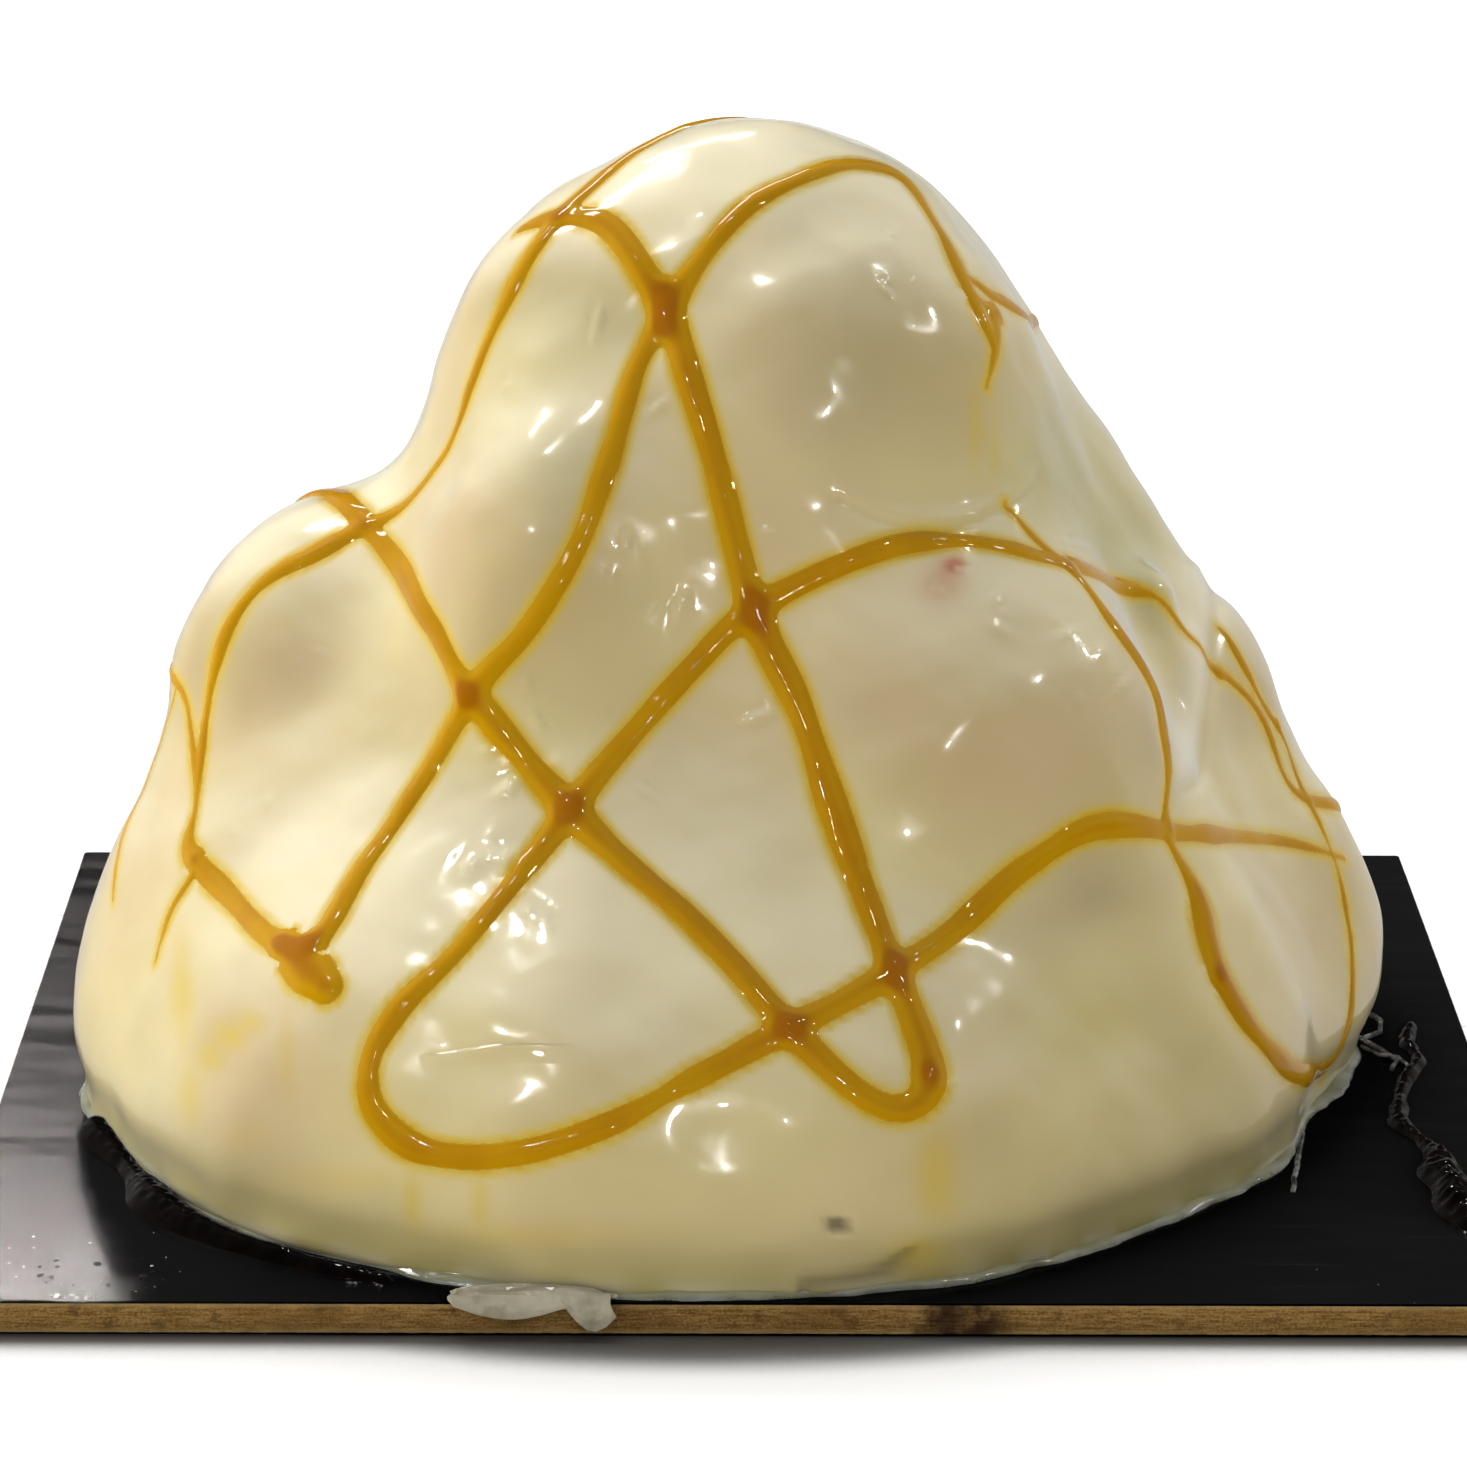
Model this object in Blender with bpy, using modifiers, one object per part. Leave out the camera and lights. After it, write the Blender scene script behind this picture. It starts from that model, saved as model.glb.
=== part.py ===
"""Profiterole cake under a poured coat with caramel drizzle, on its square fibre cake board.

A mound of cream puffs is covered by one thick coat that has run down to the board. The coat is a
smooth blend of soft bun shapes, cut flat at the foot. Caramel strands lie fused on it. Chocolate
sauce has run out on the board at the left and right, and a torn scrap of coat hangs over the front.

Sizes below are in millimetres and MM turns them into metres. +Z is up, the board's underside is
at z = 0, its centre is at the origin and the front faces -Y.
"""

import math

import bmesh
import bpy
import numpy as np
from mathutils import Vector

MM = 0.001

# ---- driving dimensions ----
BOARD_SIDE = 200.0
BOARD_THICKNESS = 4.4
BOARD_EDGE_BEVEL = 0.25
GAP = 0.3                      # between pieces that touch
FOOT = BOARD_THICKNESS + GAP   # height of the flat the cake stands on
INNER = (-2.0, -5.0, 42.0)     # a point inside the mound that sees all of its surface
BLEND = 7.5                    # how softly the coat bridges two buns
ROUND_STEPS = 60               # faces round the mound
UP_STEPS = 33                  # faces from the top to the foot
STRAND_SIDES = 6
STRAND_PIECE = 9.0             # longest straight piece of a strand
STRAND_BEND = 17.0             # degrees that one piece may bend
SAUCE_FLATNESS = 0.8           # height of a run of sauce over its half width

# Soft bun shapes under the coat: x, y, z of the centre, radius across, radius up.
BODY = [(-5, -8, 11, 76, 62), (0, -6, 62, 43, 55)]
FOOT_POOL = [(-7, -18, 7, 72, 13)]
LOWER_RING = [
    (-61, -14, 22, 23, 25), (-43, -55, 18, 24, 24), (-16, -67, 16, 26, 24), (13, -67, 15, 25, 24),
    (42, -36, 20, 22, 25), (65, 4, 20, 20, 23), (48, 44, 20, 24, 24), (8, 62, 18, 26, 24),
    (-32, 56, 18, 26, 24), (-60, 26, 20, 24, 24),
]
MIDDLE_RING = [
    (-54, -5, 60, 21, 22), (-24, -36, 74, 14, 22), (27, -40, 58, 24, 25), (50, 4, 52, 19, 19),
    (36, 12, 73, 14, 17), (12, 36, 64, 22, 24), (-30, 30, 64, 22, 24),
]
UPPER_RING = [
    (-21, -7, 101, 16, 20), (13, -20, 101, 20, 21), (16, 6, 102, 12, 16), (22, 10, 86, 13, 16),
    (-4, 12, 100, 18, 20),
]
TIP = [(1, -5, 118, 16, 13)]
BUNS = BODY + FOOT_POOL + LOWER_RING + MIDDLE_RING + UPPER_RING + TIP

# Where the coat hangs in a fold at the right, and a small pit near the foot.
FOLD_TOP = (52.0, -14.0, 72.0)
FOLD_BOTTOM = (60.0, -22.0, 42.0)
FOLD_RADIUS = 3.0
PIT_SIZE = (1.9, 1.9, 1.1)

# Caramel strands. Each is laid out as (x, z) on an upright sheet through the middle of the cake,
# as seen from the front, then as seen from the back, and thrown from there onto the coat.
FRONT_EYE = (-5.0, -856.0, 278.0)
BACK_EYE = (5.0, 856.0, 278.0)
STRANDS = {
    "long_left": (1.5, [
        (-30.5, 119), (-25, 121), (-18.5, 119.5), (-11, 108), (-7.5, 98), (-4.5, 88), (1, 67),
        (7, 54), (11.5, 40.5), (18.5, 21), (24.5, 5.5), (25.5, 0), (22, -3.5), (16, -1.5), (6, 8),
        (-6, 22), (-24, 39), (-37, 55), (-43, 65.5), (-48.5, 75.5), (-56, 83.5)],
        [(-60, 78), (-54, 64), (-38, 58), (-18, 66), (0, 82), (6, 100), (-4, 114), (-18, 116)]),
    "over_the_top": (1.4, [
        (32.5, 103), (29, 112), (25, 120), (20.5, 126), (14.5, 128), (7, 126), (-2, 120.5),
        (-11, 108), (-15, 100), (-19, 86.5), (-23, 75.5), (-29.5, 64.5), (-37, 55.5), (-43, 45),
        (-51, 33), (-58.5, 20.5), (-64.5, 20.5), (-74.5, 31), (-75, 38.5), (-73.5, 51.5),
        (-67.5, 68.5), (-59, 74.5), (-50, 79), (-41, 88), (-37, 98.5), (-31.5, 111), (-25, 121),
        (-14.5, 130)],
        [(-2, 132), (12, 124), (24, 108), (28, 90), (20, 70), (2, 54), (-18, 42), (-38, 30),
         (-46, 16), (-36, 6), (-18, 8)]),
    "cross_right": (1.5, [
        (81.5, 32.5), (72.5, 35), (60.5, 36), (48, 37), (38.5, 31.5), (29.5, 23), (20, 16), (6, 8),
        (-7.5, 0.5), (-20, -6.5), (-34, -10.5), (-45, -9.5), (-51, -4), (-51.5, 3.5), (-47.5, 10.5),
        (-37.5, 21.5), (-24, 39), (-16.5, 48.5), (-7.5, 59), (0.5, 67), (14, 74), (25.5, 77),
        (42, 74), (50.5, 70.5), (60, 63), (70, 52.5), (76.5, 41)],
        [(76, 28), (64, 12), (44, 8), (26, 18), (10, 38), (-8, 58), (-26, 78), (-34, 96)]),
    "right_loop": (1.2, [
        (34.5, 82), (40, 76), (45.5, 71), (50, 64.5), (55, 56), (57, 46.5), (57.5, 36.5),
        (61.5, 28), (63.5, 19.5), (68.5, 10), (75, 2.5), (79.5, 2.5), (82.5, 8), (83, 20),
        (79.5, 34), (73.5, 48), (69, 56), (63.5, 65)], []),
    "right_edge": (1.1, [(29, 113), (33.5, 110), (37.5, 107)],
        [(38, 98), (28, 84), (8, 76), (-14, 82), (-30, 96)]),
    "left_edge": (1.1, [(-75, 40), (-75.5, 50), (-77, 57)],
        [(-74, 56), (-66, 44), (-58, 26), (-42, 12), (-22, 20), (-2, 34), (24, 44), (46, 56)]),
    "left_tail": (1.0, [(-74.5, 31), (-78, 25.5), (-81, 17)], []),
}
# Drops where strands meet or end: strand sheet position, radius across, thickness.
DROPS = [
    ((-11, 109), 2.5, 1.3), ((-38, 55.5), 2.4, 1.3), ((-24, 39), 2.3, 1.3), ((1, 67), 2.6, 1.3),
    ((20, 16.5), 2.6, 1.4), ((6, 8), 2.3, 1.3), ((-61, 19), 3.2, 1.6), ((32.5, 107.5), 2.2, 1.1),
    ((25, 1.5), 2.4, 1.4), ((66, 13), 2.0, 1.2),
]

# Chocolate sauce on the board: x, y and half width along each run.
SAUCE_LEFT = [
    (-86.5, -33.5, 3.4), (-84.0, -41.0, 3.2), (-80.5, -50.0, 2.0), (-78.0, -58.0, 3.0),
    (-75.0, -66.0, 4.0), (-69.0, -74.5, 3.0), (-61.0, -82.0, 2.4), (-52.0, -88.5, 1.8),
    (-44.0, -92.5, 1.0),
]
SAUCE_RIGHT = [
    (93.0, 14.0, 1.2), (92.0, 4.0, 1.6), (91.5, -6.0, 1.5), (88.6, -17.0, 1.3), (87.2, -28.0, 1.7),
    (88.6, -37.0, 1.5), (90.6, -45.0, 2.6), (90.2, -53.0, 4.0), (91.2, -62.0, 4.6),
    (91.8, -70.0, 3.2),
]

# Torn scrap of coat over the board's front edge.
SCRAP_LEFT = -36.5
SCRAP_LENGTH = 20.0
SCRAP_REACH = 3.0              # how far it lies back on the board
SCRAP_THICKNESS = 0.55


# ---- a clean scene and two collections ----
for old in list(bpy.data.objects):
    bpy.data.objects.remove(old, do_unlink=True)

cake_collection = bpy.data.collections.new("profiterole_cake")
bpy.context.scene.collection.children.link(cake_collection)
tools_collection = bpy.data.collections.new("fusing_tools")
tools_collection.hide_render = True
bpy.context.scene.collection.children.link(tools_collection)


def material(name, colour, roughness):
    """A Principled material in one colour."""
    made = bpy.data.materials.new(name)
    made.use_nodes = True
    shader = made.node_tree.nodes["Principled BSDF"]
    shader.inputs["Base Color"].default_value = (*colour, 1.0)
    shader.inputs["Roughness"].default_value = roughness
    return made


def object_of(name, mesh_builder, collection, surface=None):
    """Turns a bmesh in millimetres into an object in metres."""
    bmesh.ops.scale(mesh_builder, vec=(MM, MM, MM), verts=mesh_builder.verts)
    bmesh.ops.recalc_face_normals(mesh_builder, faces=mesh_builder.faces)
    mesh = bpy.data.meshes.new(name)
    mesh_builder.to_mesh(mesh)
    mesh_builder.free()
    made = bpy.data.objects.new(name, mesh)
    collection.objects.link(made)
    if surface is not None:
        mesh.materials.append(surface)
    return made


def helper(made):
    """Marks an object that only shapes another one."""
    made.hide_render = True
    made.display_type = "WIRE"
    return made


# ---- the coat's surface ----
def coat_field(points):
    """Below zero inside the coat: a soft blend of the bun shapes and the hanging fold."""
    near = []
    for x, y, z, across, up in BUNS:
        flat = (points[:, 0] - x) ** 2 + (points[:, 1] - y) ** 2
        tall = (points[:, 2] - z) ** 2
        size = np.sqrt(flat / across**2 + tall / up**2)
        slope = np.sqrt(flat / across**4 + tall / up**4)
        near.append(size * (size - 1.0) / np.maximum(slope, 1e-9))
    near = np.array(near)
    least = near.min(axis=0)
    blended = least - BLEND * np.log(np.exp(-(near - least) / BLEND).sum(axis=0))
    top, bottom = np.array(FOLD_TOP), np.array(FOLD_BOTTOM)
    run = bottom - top
    along = np.clip(((points - top) @ run) / (run @ run), 0.0, 1.0)
    fold = np.linalg.norm(points - top - along[:, None] * run, axis=1) - FOLD_RADIUS
    return -2.5 * np.log(np.exp(-blended / 2.5) + np.exp(-fold / 2.5))


def onto_coat(points, raised=0.0):
    """Moves points along the line from INNER until they lie on the coat."""
    inner = np.array(INNER)
    way = np.asarray(points, float) - inner
    way /= np.linalg.norm(way, axis=1)[:, None]
    near = np.full(len(way), 8.0)
    far = np.full(len(way), 160.0)
    for _ in range(34):
        half = (near + far) / 2.0
        inside = coat_field(inner + way * half[:, None]) < raised
        near = np.where(inside, half, near)
        far = np.where(inside, far, half)
    return inner + way * near[:, None]


def foot_radius(turns, raised=0.0):
    """How far from INNER's axis the coat meets the board, at each angle round the cake."""
    way = np.stack([np.cos(turns), np.sin(turns)], axis=1)
    near = np.full(len(turns), 20.0)
    far = np.full(len(turns), 130.0)
    for _ in range(34):
        half = (near + far) / 2.0
        level = np.full(len(turns), FOOT)
        spot = np.column_stack([INNER[0] + way[:, 0] * half, INNER[1] + way[:, 1] * half, level])
        inside = coat_field(spot) < raised
        near = np.where(inside, half, near)
        far = np.where(inside, far, half)
    return near


def mound(round_steps, up_steps, raised=0.0):
    """A sphere pulled onto the coat, with one ring of points on the foot and a flat under it."""
    builder = bmesh.new()
    bmesh.ops.create_uvsphere(builder, u_segments=round_steps, v_segments=up_steps + 3, radius=1.0)
    start = np.array([vert.co for vert in builder.verts])
    turn = np.arctan2(start[:, 1], start[:, 0])
    row = np.rint(np.arccos(np.clip(start[:, 2], -1.0, 1.0)) / math.pi * (up_steps + 3))
    reach = foot_radius(turn, raised)
    foot_tilt = np.arctan2(FOOT - INNER[2], reach)
    tilt = math.pi / 2 + (foot_tilt - math.pi / 2) * np.minimum(row / up_steps, 1.0)
    way = np.column_stack([np.cos(tilt) * np.cos(turn), np.cos(tilt) * np.sin(turn), np.sin(tilt)])
    place = onto_coat(np.array(INNER) + way, raised)
    under = row > up_steps
    inset = reach * (1.0 - (row - up_steps) / 3.0)
    place[under, 0] = (INNER[0] + np.cos(turn) * inset)[under]
    place[under, 1] = (INNER[1] + np.sin(turn) * inset)[under]
    place[row >= up_steps, 2] = FOOT
    for vert, spot in zip(builder.verts, place):
        vert.co = spot
    return builder


# ---- laying strands ----
def thrown(eye, knots):
    """The first point of the coat that the line from the eye through each sheet point meets."""
    start = np.array(eye)
    sheet = np.array([(x, 0.0, z) for x, z in knots])
    way = sheet - start
    way /= np.linalg.norm(way, axis=1)[:, None]
    gone = np.full(len(way), 690.0)
    best = np.full(len(way), 1e9)
    spot = sheet.copy()
    for _ in range(420):
        here = start + way * gone[:, None]
        value = coat_field(here)
        open_yet = best > 0.02
        better = open_yet & (value < best)
        best = np.where(better, value, best)
        spot[better] = here[better]
        gone += np.where(open_yet, np.clip(value * 0.6, 0.05, 4.0), 0.0)
    return onto_coat(spot)


def smooth_run(knots):
    """A Catmull-Rom curve through the knots, as dense points."""
    ends = np.vstack([2 * knots[0] - knots[1], knots, 2 * knots[-1] - knots[-2]])
    dense = []
    for a, b, c, d in zip(ends, ends[1:], ends[2:], ends[3:]):
        for t in np.linspace(0.0, 1.0, 12, endpoint=False):
            dense.append(0.5 * (2 * b + (c - a) * t + (2 * a - 5 * b + 4 * c - d) * t * t
                                + (3 * b - a - 3 * c + d) * t**3))
    dense.append(knots[-1])
    return np.array(dense)


def thinned(dense, longest, bend):
    """Keeps a point wherever the line has run the longest piece or has bent enough."""
    kept = [0]
    length = 0.0
    turned = 0.0
    for i in range(1, len(dense) - 1):
        before = dense[i] - dense[i - 1]
        after = dense[i + 1] - dense[i]
        sizes = np.linalg.norm(before) * np.linalg.norm(after)
        length += np.linalg.norm(before)
        turned += math.degrees(math.acos(min(1.0, max(-1.0, before @ after / max(sizes, 1e-12)))))
        if length >= longest or (turned >= bend and length >= 2.6):
            kept.append(i)
            length = turned = 0.0
    if np.linalg.norm(dense[-1] - dense[kept[-1]]) < 1.5 and len(kept) > 2:
        kept.pop()
    return np.array([dense[i] for i in kept + [len(dense) - 1]])


def tube(name, points, radii, sides, collection):
    """A closed tube along the points, from a POLY curve with a round bevel."""
    curve = bpy.data.curves.new(name, "CURVE")
    curve.dimensions = "3D"
    curve.bevel_depth = MM
    curve.bevel_resolution = sides // 2 - 2
    curve.use_fill_caps = True
    spline = curve.splines.new("POLY")
    spline.points.add(len(points) - 1)
    for point, place, radius in zip(spline.points, points, radii):
        point.co = (*(place * MM), 1.0)
        point.radius = radius
    drawn = bpy.data.objects.new(name + "_curve", curve)
    collection.objects.link(drawn)
    graph = bpy.context.evaluated_depsgraph_get()
    mesh = bpy.data.meshes.new_from_object(drawn.evaluated_get(graph))
    bpy.data.objects.remove(drawn, do_unlink=True)
    builder = bmesh.new()
    builder.from_mesh(mesh)
    bpy.data.meshes.remove(mesh)
    bmesh.ops.remove_doubles(builder, verts=builder.verts, dist=1e-6)
    bmesh.ops.scale(builder, vec=(1 / MM, 1 / MM, 1 / MM), verts=builder.verts)
    return builder


def union_of(target, collection):
    """Fuses every object of the collection into the target by one Boolean, then drops them."""
    fuse = target.modifiers.new("fuse", "BOOLEAN")
    fuse.operation = "UNION"
    fuse.operand_type = "COLLECTION"
    fuse.collection = collection
    fuse.solver = "EXACT"
    fuse.use_self = False
    settle(target)
    for used in list(collection.objects):
        bpy.data.objects.remove(used, do_unlink=True)
    bpy.data.collections.remove(collection)


def settle(target):
    """Applies the target's modifiers."""
    bpy.context.view_layer.update()
    graph = bpy.context.evaluated_depsgraph_get()
    mesh = bpy.data.meshes.new_from_object(target.evaluated_get(graph))
    target.modifiers.clear()
    old = target.data
    target.data = mesh
    bpy.data.meshes.remove(old)
    mesh.name = target.name


def fusing_collection(name):
    made = bpy.data.collections.new(name)
    tools_collection.children.link(made)
    return made


# ---- board: one slab of fibreboard with black faces ----
board_builder = bmesh.new()
bmesh.ops.create_cube(board_builder, size=1.0)
bmesh.ops.scale(board_builder, vec=(BOARD_SIDE, BOARD_SIDE, BOARD_THICKNESS), verts=board_builder.verts)
bmesh.ops.translate(board_builder, vec=(0, 0, BOARD_THICKNESS / 2), verts=board_builder.verts)
bmesh.ops.bevel(
    board_builder, geom=board_builder.edges[:], offset=BOARD_EDGE_BEVEL, segments=1, affect="EDGES")
board = object_of("board", board_builder, cake_collection, material("board_black", (0.012, 0.011, 0.011), 0.35))

# ---- coated cake: the mound, with the caramel fused on ----
cake = object_of(
    "coated_cake", mound(ROUND_STEPS, UP_STEPS), cake_collection,
    material("coat_cream", (0.72, 0.58, 0.36), 0.25))

strands = fusing_collection("strands")
for name, (radius, front, back) in STRANDS.items():
    knots = thrown(FRONT_EYE, front)
    if back:
        knots = np.vstack([knots, thrown(BACK_EYE, back)])
    run = thinned(onto_coat(smooth_run(knots)), STRAND_PIECE, STRAND_BEND)
    radii = np.full(len(run), radius)
    radii[0] = radii[-1] = radius * 0.6
    helper(object_of(name, tube(name, run, radii, STRAND_SIDES, tools_collection), strands))

for number, (spot, across, thick) in enumerate(DROPS):
    drop = bmesh.new()
    bmesh.ops.create_uvsphere(drop, u_segments=8, v_segments=6, radius=1.0)
    place = thrown(FRONT_EYE, [spot])
    step = 0.5
    around = place + np.array([[step, 0, 0], [-step, 0, 0], [0, step, 0], [0, -step, 0], [0, 0, step], [0, 0, -step]])
    value = coat_field(around)
    out = Vector((value[0] - value[1], value[2] - value[3], value[4] - value[5])).normalized()
    facing = out.to_track_quat("Z", "Y").to_matrix()
    bmesh.ops.scale(drop, vec=(across, across, thick), verts=drop.verts)
    bmesh.ops.rotate(drop, matrix=facing, verts=drop.verts)
    bmesh.ops.translate(drop, vec=place[0], verts=drop.verts)
    helper(object_of(f"drop_{number}", drop, strands))
union_of(cake, strands)

# The pit near the foot.
pit = bmesh.new()
bmesh.ops.create_uvsphere(pit, u_segments=10, v_segments=6, radius=1.0)
bmesh.ops.scale(pit, vec=PIT_SIZE, verts=pit.verts)
bmesh.ops.translate(pit, vec=thrown(FRONT_EYE, [(13, -20.5)])[0], verts=pit.verts)
pit_cutter = helper(object_of("pit_cutter", pit, tools_collection))
dig = cake.modifiers.new("pit", "BOOLEAN")
dig.operation = "DIFFERENCE"
dig.object = pit_cutter
dig.solver = "EXACT"
settle(cake)

# ---- chocolate sauce on the board, held clear of the cake ----
clearance = helper(object_of("cake_clearance", mound(ROUND_STEPS, UP_STEPS, raised=0.5), tools_collection))
bpy.context.view_layer.update()
sauce_brown = material("sauce_black_brown", (0.008, 0.004, 0.003), 0.08)


def sauce(name, run, surface):
    """A flat-bottomed run of thick sauce, its width changing along it: a tube cut at the board."""
    knots = thinned(smooth_run(np.array(run)), 3.5, 30.0)
    middle = np.column_stack([knots[:, :2], np.zeros(len(knots))])
    builder = tube(name, middle, knots[:, 2], 8, tools_collection)
    bmesh.ops.scale(builder, vec=(1.0, 1.0, SAUCE_FLATNESS), verts=builder.verts)
    bmesh.ops.translate(builder, vec=(0.0, 0.0, FOOT + 0.3), verts=builder.verts)
    everything = builder.verts[:] + builder.edges[:] + builder.faces[:]
    bmesh.ops.bisect_plane(
        builder, geom=everything, dist=1e-5, plane_co=(0, 0, FOOT), plane_no=(0, 0, 1),
        clear_inner=True)
    rim = [side for side in builder.edges if side.is_boundary]
    bmesh.ops.triangle_fill(builder, edges=rim, use_beauty=True)
    return object_of(name, builder, cake_collection, surface)


sauce_left = sauce("sauce_left", SAUCE_LEFT, sauce_brown)
sauce_right = sauce("sauce_right", SAUCE_RIGHT, sauce_brown)
for pool in (sauce_left, sauce_right):
    keep_clear = pool.modifiers.new("keep_clear", "BOOLEAN")
    keep_clear.operation = "DIFFERENCE"
    keep_clear.object = clearance
    keep_clear.solver = "EXACT"
    settle(pool)

# ---- scrap of coat over the front edge: a thin wavy flake ----
scrap_builder = bmesh.new()
bmesh.ops.create_grid(scrap_builder, x_segments=16, y_segments=8, size=0.5)
edge = -BOARD_SIDE / 2 - 0.55
for vert in scrap_builder.verts:
    u = vert.co.x + 0.5        # along the board's edge, left to right
    v = 0.5 - vert.co.y        # from the cake out over the edge
    back = edge + 0.5 + SCRAP_REACH * math.sin(math.pi * u**0.8) ** 0.8
    if u < 0.68:
        hem = 4.2 - 1.5 * math.sin(math.pi * u / 0.68)
    else:
        hem = 4.2 - 2.9 * math.sin(math.pi * (u - 0.68) / 0.36)
    out = min(v / 0.6, 1.0)
    down = max((v - 0.6) / 0.4, 0.0)
    wave = 0.35 + 0.35 * math.sin(9.0 * u + 2.0) * math.sin(math.pi * out)
    x = SCRAP_LEFT + u * SCRAP_LENGTH + 0.5 * math.sin(7.0 * v)
    y = back + (edge - back) * out - (0.4 + 0.9 * u) * math.sin(math.pi / 2 * down)
    z = FOOT + 0.2 + wave * (1.0 - down) + (hem - FOOT - 0.2) * down
    vert.co = (x, y, z)
bmesh.ops.triangulate(scrap_builder, faces=scrap_builder.faces)
scrap = object_of("coat_scrap", scrap_builder, cake_collection, material("coat_scrap", (0.5, 0.44, 0.33), 0.3))
thick = scrap.modifiers.new("thickness", "SOLIDIFY")
thick.thickness = SCRAP_THICKNESS * MM
thick.offset = 1.0
thick.use_even_offset = True
settle(scrap)

# Cutters that are no longer needed.
for used in list(tools_collection.objects):
    bpy.data.objects.remove(used, do_unlink=True)
bpy.context.view_layer.update()
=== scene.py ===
"""Looks of a profiterole cake: a mound of puffs under a poured coat, caramel strands over it,
chocolate sauce at its foot and a black square fibreboard under it.

Lengths are in millimetres, and MM turns them into the frame's metres. +Z is up, the front faces -Y.
"""
import math

import bmesh
import bpy
import numpy as np
from mathutils import Matrix, Vector, kdtree


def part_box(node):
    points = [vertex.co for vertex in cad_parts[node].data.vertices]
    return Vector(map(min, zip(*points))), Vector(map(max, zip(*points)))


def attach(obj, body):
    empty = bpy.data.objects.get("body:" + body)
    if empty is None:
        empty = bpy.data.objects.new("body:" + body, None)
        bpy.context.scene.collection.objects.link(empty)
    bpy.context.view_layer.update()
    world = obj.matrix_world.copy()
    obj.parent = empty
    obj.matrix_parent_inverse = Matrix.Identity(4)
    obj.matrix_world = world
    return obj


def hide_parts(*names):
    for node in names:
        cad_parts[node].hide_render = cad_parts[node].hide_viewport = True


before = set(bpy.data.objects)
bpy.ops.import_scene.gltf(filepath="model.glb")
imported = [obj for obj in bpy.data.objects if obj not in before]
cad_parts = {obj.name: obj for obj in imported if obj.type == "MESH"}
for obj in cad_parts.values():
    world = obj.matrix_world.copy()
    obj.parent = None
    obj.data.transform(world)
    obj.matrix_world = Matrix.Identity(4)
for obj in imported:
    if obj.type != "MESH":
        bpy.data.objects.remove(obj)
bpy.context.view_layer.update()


# ---- Cake board ----------------------------------------------------------------------------------
# A square of brown pressed fibreboard with a thin black plastic film glued on both faces. It was
# sawn to size after the films went on, so its edge shows rough fibre between two dark lines.

MM = 0.001
board_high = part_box("board")[1]
BOARD_HALF = board_high.x / MM
BOARD_TOP = board_high.z / MM
FILM = 0.34                    # thickness of each film
BOARD_CORNER = 0.7             # radius of the worn corners
FIBRE_STEP = 0.5               # spacing of points along the sawn edge
FIBRE_DEPTH = 0.09             # how deep the sawn edge is torn
BROWN_FIBRE = (0.170, 0.085, 0.018)
PALE_FIBRE = (0.420, 0.250, 0.078)
DARK_FIBRE = (0.050, 0.022, 0.007)
FILM_BLACK = (0.0035, 0.0032, 0.0032)
STAIN_PLACE = (25.0, 5.5)      # middle and half length of the sauce stain on the front edge


def waves(points, longest, seed, count=28):
    """Smooth noise with a spread of 1: a sum of sine waves that run in all directions."""
    draw = np.random.default_rng(seed)
    way = draw.normal(size=(count, 3))
    way /= np.linalg.norm(way, axis=1)[:, None]
    length = longest * draw.uniform(0.4, 1.0, count)
    start = draw.uniform(0.0, 2 * math.pi, count)
    total = np.zeros(len(points))
    for direction, size, phase in zip(way, length, start):
        total += np.sin(points @ direction * (2 * math.pi / size) + phase)
    return total * math.sqrt(2.0 / count)


def piece(name, points, faces, surface):
    """A smooth-shaded object from points in millimetres."""
    mesh = bpy.data.meshes.new(name)
    mesh.from_pydata((np.asarray(points) * MM).tolist(), [], faces)
    mesh.shade_smooth()
    mesh.materials.append(surface)
    made = bpy.data.objects.new(name, mesh)
    bpy.context.scene.collection.objects.link(made)
    return made


def put_values(made, name, values):
    """Stores one number for each point, for the material to read."""
    made.data.attributes.new(name, "FLOAT", "POINT").data.foreach_set("value", values.astype(np.float32))


def add(tree, kind, inputs=None, **settings):
    """Adds a node: settings are its properties, inputs are numbers, colours or other nodes' outputs."""
    made = tree.nodes.new(kind)
    for name, value in settings.items():
        setattr(made, name, value)
    for name, value in (inputs or {}).items():
        if isinstance(value, bpy.types.NodeSocket):
            tree.links.new(value, made.inputs[name])
        else:
            made.inputs[name].default_value = value
    return made


def sums(tree, operation, first, second=0.0, third=0.0):
    """A Math node's output."""
    return add(tree, "ShaderNodeMath", {0: first, 1: second, 2: third}, operation=operation).outputs[0]


def tinted(tree, share, under, over, way="MIX"):
    """The colour under, with the colour over laid on it by the share."""
    under = (*under, 1.0) if isinstance(under, tuple) else under
    over = (*over, 1.0) if isinstance(over, tuple) else over
    mix = add(tree, "ShaderNodeMix", {0: share, 6: under, 7: over}, data_type="RGBA", blend_type=way)
    return mix.outputs[2]


def ranged(tree, value, low, high, least=0.0, most=1.0):
    """The value from low to high, turned smoothly into a value from least to most."""
    made = add(tree, "ShaderNodeMapRange", {0: value, 1: low, 2: high, 3: least, 4: most})
    made.interpolation_type = "SMOOTHSTEP"
    return made.outputs[0]


def marked(tree, name):
    """A number that the mesh holds for each point."""
    return add(tree, "ShaderNodeAttribute", attribute_name=name).outputs["Fac"]


def new_surface(name, **finish):
    """A material with its Principled shader's plain values set. Returns it with its tree and shader."""
    made = bpy.data.materials.new(name)
    made.use_nodes = True
    shader = made.node_tree.nodes["Principled BSDF"]
    for socket, value in finish.items():
        shader.inputs[socket.replace("_", " ")].default_value = value
    return made, made.node_tree, shader


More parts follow.
